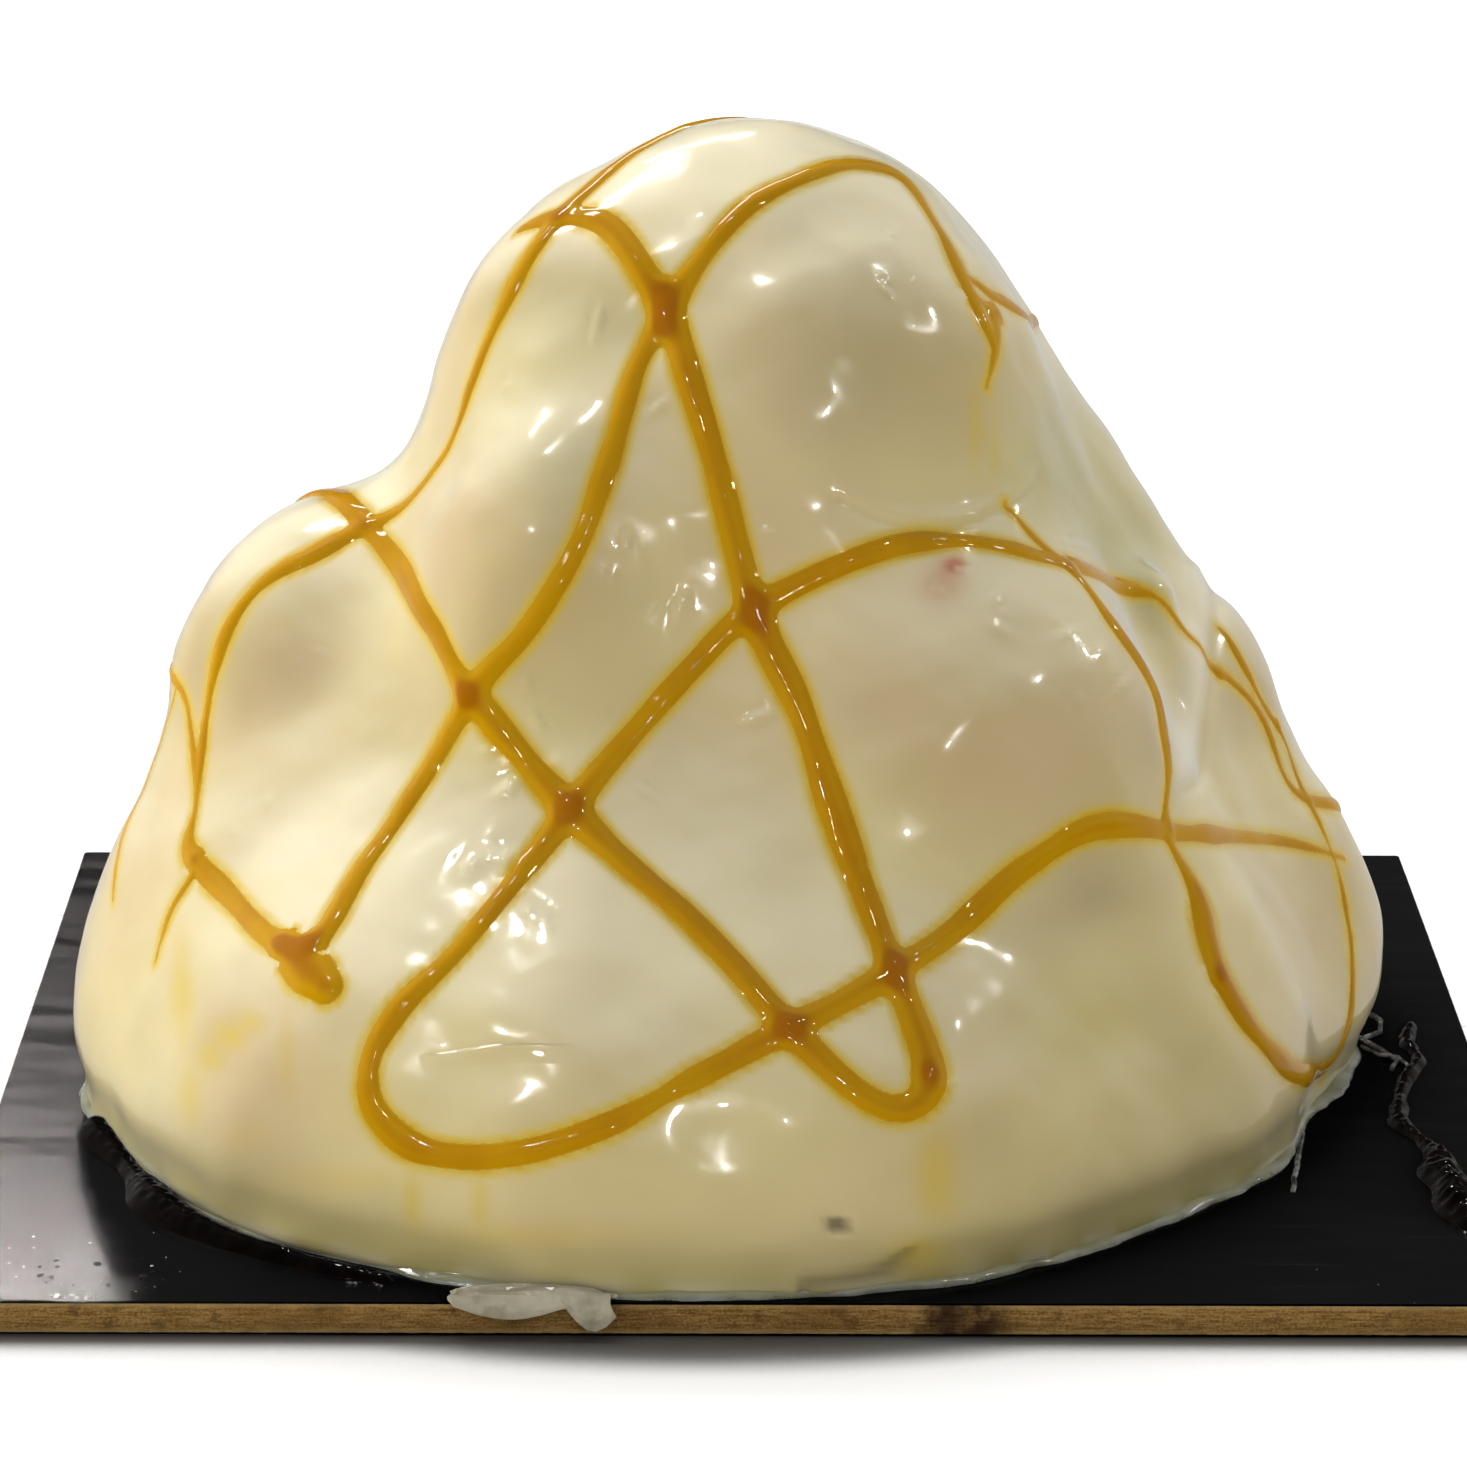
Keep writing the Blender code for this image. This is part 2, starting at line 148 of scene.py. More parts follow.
def shader_group(name, numbers, outputs):
    """An empty shader node group with number inputs and the named outputs."""
    tree = bpy.data.node_groups.new(name, "ShaderNodeTree")
    for label, value in numbers.items():
        socket = tree.interface.new_socket(label, in_out="INPUT", socket_type="NodeSocketFloat")
        socket.default_value = value
    for label in outputs:
        tree.interface.new_socket(label, in_out="OUTPUT", socket_type="NodeSocketFloat")
    return tree, add(tree, "NodeGroupInput").outputs, add(tree, "NodeGroupOutput").inputs


# Patches: cloudy variation with a soft or hard edge, at a given size in millimetres.
patches, given, shown = shader_group(
    "patches", {"Size": 5.0, "Seed": 0.0, "From": 0.4, "To": 0.6, "Detail": 3.0}, ["Mask"])
place = add(patches, "ShaderNodeTexCoord").outputs["Object"]
per_metre = sums(patches, "DIVIDE", 1.0 / MM, given["Size"])
cloud = add(
    patches, "ShaderNodeTexNoise",
    {"Vector": place, "W": given["Seed"], "Scale": per_metre, "Detail": given["Detail"], "Roughness": 0.5},
    noise_dimensions="4D")
spread = add(patches, "ShaderNodeMapRange", {0: cloud.outputs["Fac"], 1: given["From"], 2: given["To"]})
spread.interpolation_type = "SMOOTHSTEP"
patches.links.new(spread.outputs[0], shown["Mask"])


def patch(tree, size, seed, low=0.4, high=0.6, detail=3.0):
    """The patches group in a material, with its own values."""
    made = add(tree, "ShaderNodeGroup", node_tree=patches)
    for label, value in (("Size", size), ("Seed", seed), ("From", low), ("To", high), ("Detail", detail)):
        made.inputs[label].default_value = value
    return made.outputs["Mask"]


def bumped(tree, shader, height, depth, strength=1.0, before=None):
    """A Bump node on the shader, or on the result of the one before. depth is in millimetres."""
    made = add(tree, "ShaderNodeBump", {"Height": height, "Distance": depth * MM, "Strength": strength})
    if before is not None:
        tree.links.new(before.outputs[0], made.inputs["Normal"])
    tree.links.new(made.outputs[0], shader.inputs["Normal"])
    return made


def square_outline():
    """Points round the board with small round corners, and the way out at each point."""
    flat = BOARD_HALF - BOARD_CORNER
    run = np.arange(-flat, flat, FIBRE_STEP)
    side = np.column_stack([run, np.full(len(run), -BOARD_HALF)])
    side_out = np.tile([0.0, -1.0], (len(run), 1))
    turns = np.radians([-90.0, -60.0, -30.0])
    corner_out = np.column_stack([np.cos(turns), np.sin(turns)])
    corner = np.array([flat, -flat]) + BOARD_CORNER * corner_out
    ring = np.vstack([side, corner])
    out = np.vstack([side_out, corner_out])
    rings = []
    outs = []
    for quarter in range(4):
        turn = np.array([[math.cos(quarter * math.pi / 2), -math.sin(quarter * math.pi / 2)],
                         [math.sin(quarter * math.pi / 2), math.cos(quarter * math.pi / 2)]])
        rings.append(ring @ turn.T)
        outs.append(out @ turn.T)
    return np.vstack(rings), np.vstack(outs)


def sheet_of_board(name, heights, insets, tear, seed, surface):
    """A square slab from rings at the given heights. Its edge is torn inwards by up to tear."""
    ring, out = square_outline()
    count = len(ring)
    points = []
    for height, inset in zip(heights, insets):
        spot = np.column_stack([ring, np.full(count, height * 3.0)])
        torn = tear * (0.5 + 0.3 * waves(spot, 4.0, seed) + 0.3 * waves(spot, 1.3, seed + 1))
        shifted = ring - out * (inset + np.clip(torn, 0.0, 2.0 * tear))[:, None]
        points.append(np.column_stack([shifted, np.full(count, height)]))
    faces = []
    for row in range(len(heights) - 1):
        for i in range(count):
            j = (i + 1) % count
            faces.append((row * count + i, row * count + j, (row + 1) * count + j, (row + 1) * count + i))
    last = (len(heights) - 1) * count
    faces.append(tuple(reversed(range(count))))
    faces.append(tuple(range(last, last + count)))
    made = piece(name, np.vstack(points), faces, surface)
    made.data.set_sharp_from_angle(angle=math.radians(30))
    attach(made, "root")
    return made


fibre, tree, shader = new_surface("pressed_fibre", Roughness=0.85, Specular_IOR_Level=0.2)
place = add(tree, "ShaderNodeTexCoord").outputs["Object"]
long_fibres = []
for turned_scale in ((260.0, 2600.0, 3200.0), (2600.0, 260.0, 3200.0)):
    mapped = add(tree, "ShaderNodeMapping", {"Vector": place, "Scale": turned_scale})
    long_fibres.append(add(
        tree, "ShaderNodeTexNoise",
        {"Vector": mapped.outputs[0], "Scale": 1.0, "Detail": 5.0, "Roughness": 0.65}).outputs["Fac"])
strand_mix = sums(tree, "MULTIPLY", sums(tree, "ADD", *long_fibres), 0.5)
grain = ranged(tree, strand_mix, 0.40, 0.60)
colour = tinted(tree, grain, BROWN_FIBRE, PALE_FIBRE)
colour = tinted(tree, sums(tree, "MULTIPLY", patch(tree, 2.6, 3.0, 0.55, 0.72), 0.5), colour, DARK_FIBRE)
colour = tinted(tree, sums(tree, "MULTIPLY", patch(tree, 9.0, 4.0, 0.48, 0.62), 0.4), colour, BROWN_FIBRE)
# The board is pressed harder, and paler, next to the films.
axes = add(tree, "ShaderNodeSeparateXYZ", {0: place}).outputs
off_middle = sums(tree, "ABSOLUTE", sums(tree, "SUBTRACT", axes["Z"], 0.5 * BOARD_TOP * MM))
pressed = sums(tree, "MULTIPLY", ranged(tree, off_middle, 1.1 * MM, 1.75 * MM), 0.45)
colour = tinted(tree, pressed, colour, (0.50, 0.34, 0.14))
# Chocolate sauce has soaked into the front edge.
from_stain = sums(tree, "ABSOLUTE", sums(tree, "SUBTRACT", axes["X"], STAIN_PLACE[0] * MM))
ragged = sums(tree, "MULTIPLY_ADD", patch(tree, 3.0, 9.0, 0.3, 0.7), 5.0 * MM, from_stain)
stained = ranged(tree, ragged, (STAIN_PLACE[1] - 2.0) * MM, (STAIN_PLACE[1] + 4.5) * MM, 1.0, 0.0)
at_front = ranged(tree, axes["Y"], -99.0 * MM, -98.0 * MM, 1.0, 0.0)
stained = sums(tree, "MULTIPLY", sums(tree, "MULTIPLY", stained, at_front), 0.9)
colour = tinted(tree, stained, colour, (0.022, 0.006, 0.004))
tree.links.new(colour, shader.inputs["Base Color"])
bumped(tree, shader, strand_mix, 0.25)

film, tree, shader = new_surface("black_film")
haze = patch(tree, 14.0, 1.0, 0.35, 0.65)
place = add(tree, "ShaderNodeTexCoord").outputs["Object"]
wiped = add(
    tree, "ShaderNodeMapping", {"Vector": place, "Rotation": (0, 0, -0.12), "Scale": (70.0, 260.0, 70.0)})
wiped = add(
    tree, "ShaderNodeTexNoise", {"Vector": wiped.outputs[0], "Scale": 1.0, "Detail": 3.0}).outputs["Fac"]
smear = ranged(tree, wiped, 0.40, 0.62)
rough = sums(tree, "MULTIPLY_ADD", haze, 0.03, sums(tree, "MULTIPLY_ADD", smear, 0.09, 0.10))
# Painted shade: beside the cake's foot, where ambient occlusion finds the cake close, the film's colour is
# darkened and its specular lowered, all but at the far left.
cake_occlusion = add(tree, "ShaderNodeAmbientOcclusion", {"Distance": 0.06}, samples=8).outputs["AO"]
across = add(tree, "ShaderNodeSeparateXYZ", {0: place}).outputs["X"]
unshaded_far_left = ranged(tree, across, -0.075, -0.045, 1.0, 0.0)
unshaded_film = sums(tree, "MAXIMUM", ranged(tree, cake_occlusion, 0.60, 0.92), unshaded_far_left)
tree.links.new(ranged(tree, unshaded_film, 0.0, 1.0, 0.01, 0.25), shader.inputs["Specular IOR Level"])
scratched = add(
    tree, "ShaderNodeMapping", {"Vector": place, "Rotation": (0, 0, 0.6), "Scale": (30.0, 900.0, 30.0)})
scratches = add(
    tree, "ShaderNodeTexNoise",
    {"Vector": scratched.outputs[0], "Scale": 1.0, "Detail": 2.0, "Roughness": 0.4}).outputs["Fac"]
scratches = sums(tree, "MULTIPLY", ranged(tree, scratches, 0.66, 0.72), patch(tree, 30.0, 6.0, 0.5, 0.6))
# Painted shade: the film's colour goes to near black where the cake is close.
shaded_film_black = tinted(tree, unshaded_film, (0.0003, 0.0003, 0.0003), FILM_BLACK)
tree.links.new(tinted(tree, sums(tree, "MULTIPLY", scratches, 0.12), shaded_film_black, (0.03, 0.028, 0.027)),
               shader.inputs["Base Color"])
tree.links.new(sums(tree, "MULTIPLY_ADD", scratches, 0.06, rough), shader.inputs["Roughness"])
fine = bumped(tree, shader, patch(tree, 1.1, 5.0, 0.3, 0.7, detail=1.0), 0.003)
bumped(tree, shader, patch(tree, 5.0, 7.0, 0.2, 0.8, detail=0.0), 0.012, before=fine)

core_levels = np.linspace(FILM, BOARD_TOP - FILM, 10)
board_core = sheet_of_board("board_core", core_levels, np.zeros(10), FIBRE_DEPTH, 11, fibre)
top_levels = [BOARD_TOP - FILM, BOARD_TOP - 0.06, BOARD_TOP]
board_top_film = sheet_of_board("board_top_film", top_levels, [0.0, 0.0, 0.07], 0.03, 13, film)
bottom_levels = [0.0, 0.06, FILM]
board_bottom_film = sheet_of_board("board_bottom_film", bottom_levels, [0.07, 0.0, 0.0], 0.03, 15, film)
for layer in (board_core, board_top_film, board_bottom_film):
    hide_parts("board")


def geometry_group(name, numbers):
    """An empty geometry node group with number inputs."""
    tree = bpy.data.node_groups.new(name, "GeometryNodeTree")
    tree.interface.new_socket("Geometry", in_out="INPUT", socket_type="NodeSocketGeometry")
    for label, value in numbers.items():
        socket = tree.interface.new_socket(label, in_out="INPUT", socket_type="NodeSocketFloat")
        socket.default_value = value
    tree.interface.new_socket("Geometry", in_out="OUTPUT", socket_type="NodeSocketGeometry")
    return tree, add(tree, "NodeGroupInput").outputs, add(tree, "NodeGroupOutput").inputs[0]


def grown(name, points, edges, faces, group, values):
    """Runs a geometry group on points in millimetres and keeps the result as a plain mesh."""
    mesh = bpy.data.meshes.new(name)
    mesh.from_pydata((np.asarray(points) * MM).tolist(), edges, faces)
    made = bpy.data.objects.new(name, mesh)
    bpy.context.scene.collection.objects.link(made)
    maker = made.modifiers.new("maker", "NODES")
    maker.node_group = group
    for socket in group.interface.items_tree:
        if socket.name in values:
            maker[socket.identifier] = values[socket.name]
    plain = bpy.data.meshes.new_from_object(made.evaluated_get(bpy.context.evaluated_depsgraph_get()))
    made.modifiers.clear()
    made.data = plain
    plain.shade_smooth()
    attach(made, "root")
    return made


def spread_number(tree, low, high, seed):
    """A number that differs from one instance to the next."""
    made = add(tree, "FunctionNodeRandomValue", data_type="FLOAT")
    for socket, value in zip([end for end in made.inputs if end.enabled], (low, high)):
        if isinstance(value, bpy.types.NodeSocket):
            tree.links.new(value, socket)
        else:
            socket.default_value = value
    made.inputs["Seed"].default_value = seed
    return [end for end in made.outputs if end.enabled][0]


# Fibres torn loose by the saw stand out of the edge.
fibres, given, shown = geometry_group("loose_fibres", {"Longest": 0.0009, "Thickness": 0.00003})
where = add(fibres, "GeometryNodeMeshToPoints", {"Mesh": given["Geometry"]})
strand = add(fibres, "GeometryNodeCurvePrimitiveLine", {"End": (0.0, 0.0, 1.0)})
bits = add(fibres, "GeometryNodeInstanceOnPoints", {
    "Points": where.outputs[0], "Instance": strand.outputs[0],
    "Rotation": add(fibres, "ShaderNodeCombineXYZ", {
        0: spread_number(fibres, -1.9, 1.9, 1), 1: spread_number(fibres, -1.9, 1.9, 2),
        2: spread_number(fibres, 0.0, 6.3, 3)}).outputs[0],
    "Scale": spread_number(fibres, 0.0002, given["Longest"], 4)})
real = add(fibres, "GeometryNodeRealizeInstances", {0: bits.outputs[0]})
ring = add(fibres, "GeometryNodeCurvePrimitiveCircle", {"Resolution": 3, "Radius": given["Thickness"]})
tubes = add(fibres, "GeometryNodeCurveToMesh", {"Curve": real.outputs[0], "Profile Curve": ring.outputs[0]})
done = add(fibres, "GeometryNodeSetMaterial", {"Geometry": tubes.outputs[0], "Material": fibre})
fibres.links.new(done.outputs[0], shown)

draw = np.random.default_rng(17)
outline, _ = square_outline()
picked = outline[draw.integers(0, len(outline), 900)]
levels = draw.uniform(FILM, BOARD_TOP - FILM, 900)
inward = 1.0 - 0.12 / BOARD_HALF
loose = grown("loose_fibres", np.column_stack([picked * inward, levels]), [], [], fibres,
              {"Longest": 0.0009, "Thickness": 0.00003})

# Crumbs and specks of dried sugar lie on the film, most of them at the front left.
specks, given, shown = geometry_group(
    "specks", {"How many per square metre": 9000.0, "Smallest": 0.00008, "Largest": 0.0003, "Flatness": 0.4})
where = add(specks, "GeometryNodeDistributePointsOnFaces", {
    "Mesh": given["Geometry"], "Density": given["How many per square metre"], "Seed": 5})
grain_shape = add(specks, "GeometryNodeMeshIcoSphere", {"Radius": 1.0, "Subdivisions": 2})
across = spread_number(specks, given["Smallest"], given["Largest"], 6)
bits = add(specks, "GeometryNodeInstanceOnPoints", {
    "Points": where.outputs[0], "Instance": grain_shape.outputs[0],
    "Rotation": add(specks, "ShaderNodeCombineXYZ", {2: spread_number(specks, 0.0, 6.3, 7)}).outputs[0],
    "Scale": add(specks, "ShaderNodeCombineXYZ", {
        0: across, 1: sums(specks, "MULTIPLY", across, spread_number(specks, 0.4, 1.0, 8)),
        2: sums(specks, "MULTIPLY", across, given["Flatness"])}).outputs[0]})
real = add(specks, "GeometryNodeRealizeInstances", {0: bits.outputs[0]})
done = add(specks, "GeometryNodeSetMaterial", {"Geometry": real.outputs[0]})
specks.links.new(done.outputs[0], shown)

sugar, tree, shader = new_surface("dried_sugar", Roughness=0.3)
tree.links.new(tinted(tree, patch(tree, 2.0, 8.0), (0.30, 0.29, 0.27), (0.62, 0.60, 0.56)),
               shader.inputs["Base Color"])
dark_crumb, tree, shader = new_surface("dark_crumb", Roughness=0.4)
tree.links.new(tinted(tree, patch(tree, 1.0, 9.0), (0.004, 0.003, 0.003), (0.02, 0.012, 0.008)),
               shader.inputs["Base Color"])
CRUMB_PLACES = [
    ("sugar_left", (-98.0, -98.0, -70.0, -74.0), 30000.0, 0.26, sugar),
    ("sugar_near_edge", (-87.0, -99.2, -80.0, -97.6), 1500000.0, 0.5, sugar),
    ("dark_left", (-92.0, -97.0, -72.0, -84.0), 70000.0, 0.6, dark_crumb),
    ("sugar_right", (60.0, -97.0, 98.0, -74.0), 4000.0, 0.22, sugar),
    ("sugar_behind", (-96.0, 84.0, 96.0, 97.0), 2500.0, 0.25, sugar),
]
for name, (left, near, right, far), density, largest, surface in CRUMB_PLACES:
    done.inputs["Material"].default_value = surface
    corners = [(x, y, BOARD_TOP) for x, y in ((left, near), (right, near), (right, far), (left, far))]
    grown(name, corners, [], [(0, 1, 2, 3)], specks,
                  {"How many per square metre": density, "Largest": largest * MM})


# ---- Coated cake ---------------------------------------------------------------------------------
# Cream puffs piled into a mound, with a thick pale coat poured over the pile. The coat bridges the
# puffs, hangs in a fold at the right, and has set with small wrinkles and a soft lip on the board.

GAP = 0.3
FOOT = BOARD_TOP + GAP         # height of the flat that the solid stands on
INNER = (-2.0, -5.0, 42.0)     # a point inside the mound that sees all of its surface
BLEND = 7.5                    # how softly the coat bridges two puffs
FRONT_EYE = (-5.0, -856.0, 278.0)
BACK_EYE = (5.0, 856.0, 278.0)
FOLD_TOP = (52.0, -14.0, 72.0)
FOLD_BOTTOM = (60.0, -22.0, 42.0)
FOLD_RADIUS = 3.0
COAT_COLUMNS = 430
COAT_ROWS = 220
FRONT_CROWDING = 0.32          # how much closer the columns stand at the front than on average

# Soft puff shapes under the coat: x, y, z of the centre, radius across, radius up.
BODY = [(-5, -8, 11, 76, 62), (0, -6, 62, 43, 55)]
FOOT_POOL = [(-7, -18, 7, 72, 13)]
LOWER_RING = [
    (-61, -14, 22, 23, 25), (-43, -55, 18, 24, 24), (-16, -67, 16, 26, 24), (13, -67, 15, 25, 24),
    (42, -36, 20, 22, 25), (65, 4, 20, 20, 23), (48, 44, 20, 24, 24), (8, 62, 18, 26, 24),
    (-32, 56, 18, 26, 24), (-60, 26, 20, 24, 24),
]
MIDDLE_RING = [
    (-54, -5, 60, 21, 22), (-24, -36, 74, 14, 22), (27, -40, 58, 24, 25), (50, 4, 52, 19, 19),
    (36, 12, 73, 14, 17), (12, 36, 64, 22, 24), (-30, 30, 64, 22, 24),
]
UPPER_RING = [
    (-21, -7, 101, 16, 20), (13, -20, 101, 20, 21), (16, 6, 102, 12, 16), (22, 10, 86, 13, 16),
    (-4, 12, 100, 18, 20),
]
TIP = [(1, -5, 118, 16, 13)]
PUFFS = BODY + FOOT_POOL + LOWER_RING + MIDDLE_RING + UPPER_RING + TIP

# Small wrinkles that catch the light, on the front sheet: x, z, half length, half width, height,
# and the lean of the long side from level in degrees.
WRINKLES = [
    (18.3, 111.1, 1.3, 0.5, 0.28, -40), (19.1, 119.0, 0.8, 0.5, 0.2, 60), (18.2, 117.6, 0.7, 0.4, 0.2, 40),
    (22.2, 113.2, 2.4, 0.3, 0.12, -70), (-20.3, 106.3, 2.2, 0.7, 0.22, 80), (-32.3, 98.2, 0.9, 0.6, 0.15, 60),
    (-12.0, 95.3, 1.6, 0.6, 0.25, 35), (2.1, 78.3, 1.5, 0.35, 0.2, 5), (-9.3, 67.6, 2.6, 0.8, 0.26, 75),
    (-16.5, 76.8, 1.2, 0.5, 0.18, 85), (-18.5, 72.0, 1.0, 0.6, 0.15, 60), (-30.3, 56.9, 1.4, 0.6, 0.22, 80),
    (-28.3, 51.6, 1.8, 0.6, 0.22, -60), (-35.2, 47.5, 0.9, 0.8, 0.26, 20), (-32.4, 42.5, 2.2, 1.0, 0.3, 40),
    (-37.8, 31.2, 2.0, 1.1, 0.3, 50), (-33.0, 32.7, 2.2, 1.0, 0.3, 10), (-28.8, 24.6, 2.0, 0.9, 0.3, -50),
    (-26.7, 23.5, 1.6, 0.6, 0.28, -70), (1.7, 52.4, 2.2, 0.7, 0.26, 20), (3.0, 54.2, 1.2, 0.5, 0.22, 80),
    (-13.2, 41.4, 1.9, 0.3, 0.2, -35), (-57.7, 61.2, 1.6, 0.4, 0.16, -15), (33.4, 69.1, 1.0, 0.6, 0.24, 60),
    (34.0, 64.8, 1.4, 0.7, 0.24, -40), (43.4, 64.3, 1.5, 0.7, 0.26, 25), (47.7, 61.6, 1.0, 0.8, 0.24, 70),
    (50.9, 56.9, 1.5, 0.5, 0.2, 50), (44.7, 54.8, 0.8, 0.6, 0.18, 80), (43.7, 76.7, 1.8, 0.4, 0.22, -12),
    (31.8, 80.2, 2.0, 0.35, 0.18, 0), (23.5, 81.5, 2.6, 0.35, 0.14, 5), (36.1, 81.8, 0.9, 0.5, 0.2, 40),
    (-65.4, 40.4, 0.7, 0.6, 0.12, 60), (-69.6, 36.2, 0.5, 0.5, 0.12, 0), (26.8, -0.5, 1.6, 0.4, 0.12, 10),
]
STREAK = [(-43.3, 4.6), (-37.8, 5.2), (-29.5, 5.9), (-25.2, 6.0)]
HEM = [(7.7, -29.5), (8.0, -27.2), (14.0, -26.6), (18.8, -25.8), (22.3, -24.0)]
FOLD_LINE = [(60.2, 73.0), (60.8, 69.0), (60.6, 62.0), (60.0, 54.0), (59.2, 45.0)]
CREASE = [(13.1, 82.4), (20.5, 79.7), (28.6, 79.5), (35.3, 82.5), (37.9, 85.3)]
PIT = (13.0, -20.5)
PIT_SIZE = (1.9, 0.95, 1.1)    # half width, half height, depth


def coat_field(points, bare=False):
    """Below zero inside the coat: a soft blend of the puffs and the hanging fold. With bare, the
    second result says how much the coat has pooled between puffs."""
    near = []
    for x, y, z, across, up in PUFFS:
        flat = (points[:, 0] - x) ** 2 + (points[:, 1] - y) ** 2
        tall = (points[:, 2] - z) ** 2
        size = np.sqrt(flat / across**2 + tall / up**2)
        slope = np.sqrt(flat / across**4 + tall / up**4)
        near.append(size * (size - 1.0) / np.maximum(slope, 1e-9))
    near = np.array(near)
    least = near.min(axis=0)
    blended = least - BLEND * np.log(np.exp(-(near - least) / BLEND).sum(axis=0))
    top, bottom = np.array(FOLD_TOP), np.array(FOLD_BOTTOM)
    run = bottom - top
    along = np.clip(((points - top) @ run) / (run @ run), 0.0, 1.0)
    fold = np.linalg.norm(points - top - along[:, None] * run, axis=1) - FOLD_RADIUS
    field = -2.5 * np.log(np.exp(-blended / 2.5) + np.exp(-fold / 2.5))
    if bare:
        return field, (least - blended) / BLEND, fold
    return field


def onto_coat(points):
    """Moves points along the line from INNER until they lie on the coat."""
    inner = np.array(INNER)
    way = np.asarray(points, float) - inner
    way /= np.linalg.norm(way, axis=1)[:, None]
    near = np.full(len(way), 20.0)
    far = np.full(len(way), 135.0)
    for _ in range(5):
        half = (near + far) / 2.0
        inside = coat_field(inner + way * half[:, None]) < 0.0
        near = np.where(inside, half, near)
        far = np.where(inside, far, half)
    value_near = coat_field(inner + way * near[:, None])
    value_far = coat_field(inner + way * far[:, None])
    for _ in range(5):
        guess = near + (far - near) * value_near / (value_near - value_far)
        value = coat_field(inner + way * guess[:, None])
        inside = value < 0.0
        # The end that stays put counts for half next time, so that both ends close in.
        value_near = np.where(inside, value, value_near * 0.5)
        value_far = np.where(inside, value_far * 0.5, value)
        near = np.where(inside, guess, near)
        far = np.where(inside, far, guess)
    return inner + way * guess[:, None]


def way_out(points):
    """The direction straight out of the coat at each point."""
    step = 0.05
    slopes = []
    for axis in range(3):
        shift = np.zeros(3)
        shift[axis] = step
        slopes.append(coat_field(points + shift) - coat_field(points - shift))
    slopes = np.array(slopes).T
    return slopes / np.linalg.norm(slopes, axis=1)[:, None]


def foot_radius(turns):
    """How far from INNER's axis the coat meets the board, at each angle round the cake."""
    way = np.stack([np.cos(turns), np.sin(turns)], axis=1)
    near = np.full(len(turns), 20.0)
    far = np.full(len(turns), 130.0)
    for _ in range(24):
        half = (near + far) / 2.0
        level = np.full(len(turns), FOOT)
        spot = np.column_stack([INNER[0] + way[:, 0] * half, INNER[1] + way[:, 1] * half, level])
        inside = coat_field(spot) < 0.0
        near = np.where(inside, half, near)
        far = np.where(inside, far, half)
    return near


def thrown(eye, knots):
    """The first point of the coat that the line from the eye through each sheet point meets."""
    start = np.array(eye)
    sheet = np.array([(x, 0.0, z) for x, z in knots])
    way = sheet - start
    way /= np.linalg.norm(way, axis=1)[:, None]
    gone = np.full(len(way), 690.0)
    best = np.full(len(way), 1e9)
    spot = sheet.copy()
    for _ in range(420):
        here = start + way * gone[:, None]
        value = coat_field(here)
        open_yet = best > 0.02
        better = open_yet & (value < best)
        best = np.where(better, value, best)
        spot[better] = here[better]
        gone += np.where(open_yet, np.clip(value * 0.6, 0.05, 4.0), 0.0)
    return onto_coat(spot)


def smooth_run(knots, steps=12):
    """A Catmull-Rom curve through the knots, as dense points."""
    ends = np.vstack([2 * knots[0] - knots[1], knots, 2 * knots[-1] - knots[-2]])
    dense = []
    for a, b, c, d in zip(ends, ends[1:], ends[2:], ends[3:]):
        for t in np.linspace(0.0, 1.0, steps, endpoint=False):
            dense.append(0.5 * (2 * b + (c - a) * t + (2 * a - 5 * b + 4 * c - d) * t * t
                                + (3 * b - a - 3 * c + d) * t**3))
    dense.append(knots[-1])
    return np.array(dense)


def on_front_sheet(points):
    """Where the line from the front eye to each point crosses the upright sheet, and a weight that
    is 1 on the front of the cake and 0 on its back."""
    eye = np.array(FRONT_EYE)
    reach = -eye[1] / (points[:, 1] - eye[1])
    x = eye[0] + (points[:, 0] - eye[0]) * reach
    z = eye[2] + (points[:, 2] - eye[2]) * reach
    front = np.clip((18.0 - points[:, 1]) / 12.0, 0.0, 1.0)
    return x, z, front


def off_line(x, z, line):
    """Distance from each sheet point to a line of knots, with its sign, and how far along it is."""
    run = smooth_run(np.array(line, float), 8)
    best = np.full(len(x), 1e9)
    side = np.zeros(len(x))
    for a, b in zip(run, run[1:]):
        step = b - a
        share = np.clip(((x - a[0]) * step[0] + (z - a[1]) * step[1]) / (step @ step), 0.0, 1.0)
        gap_x = x - a[0] - share * step[0]
        gap_z = z - a[1] - share * step[1]
        gap = np.hypot(gap_x, gap_z)
        nearer = gap < best
        best = np.where(nearer, gap, best)
        side = np.where(nearer, np.sign(step[0] * gap_z - step[1] * gap_x), side)
    return best, side


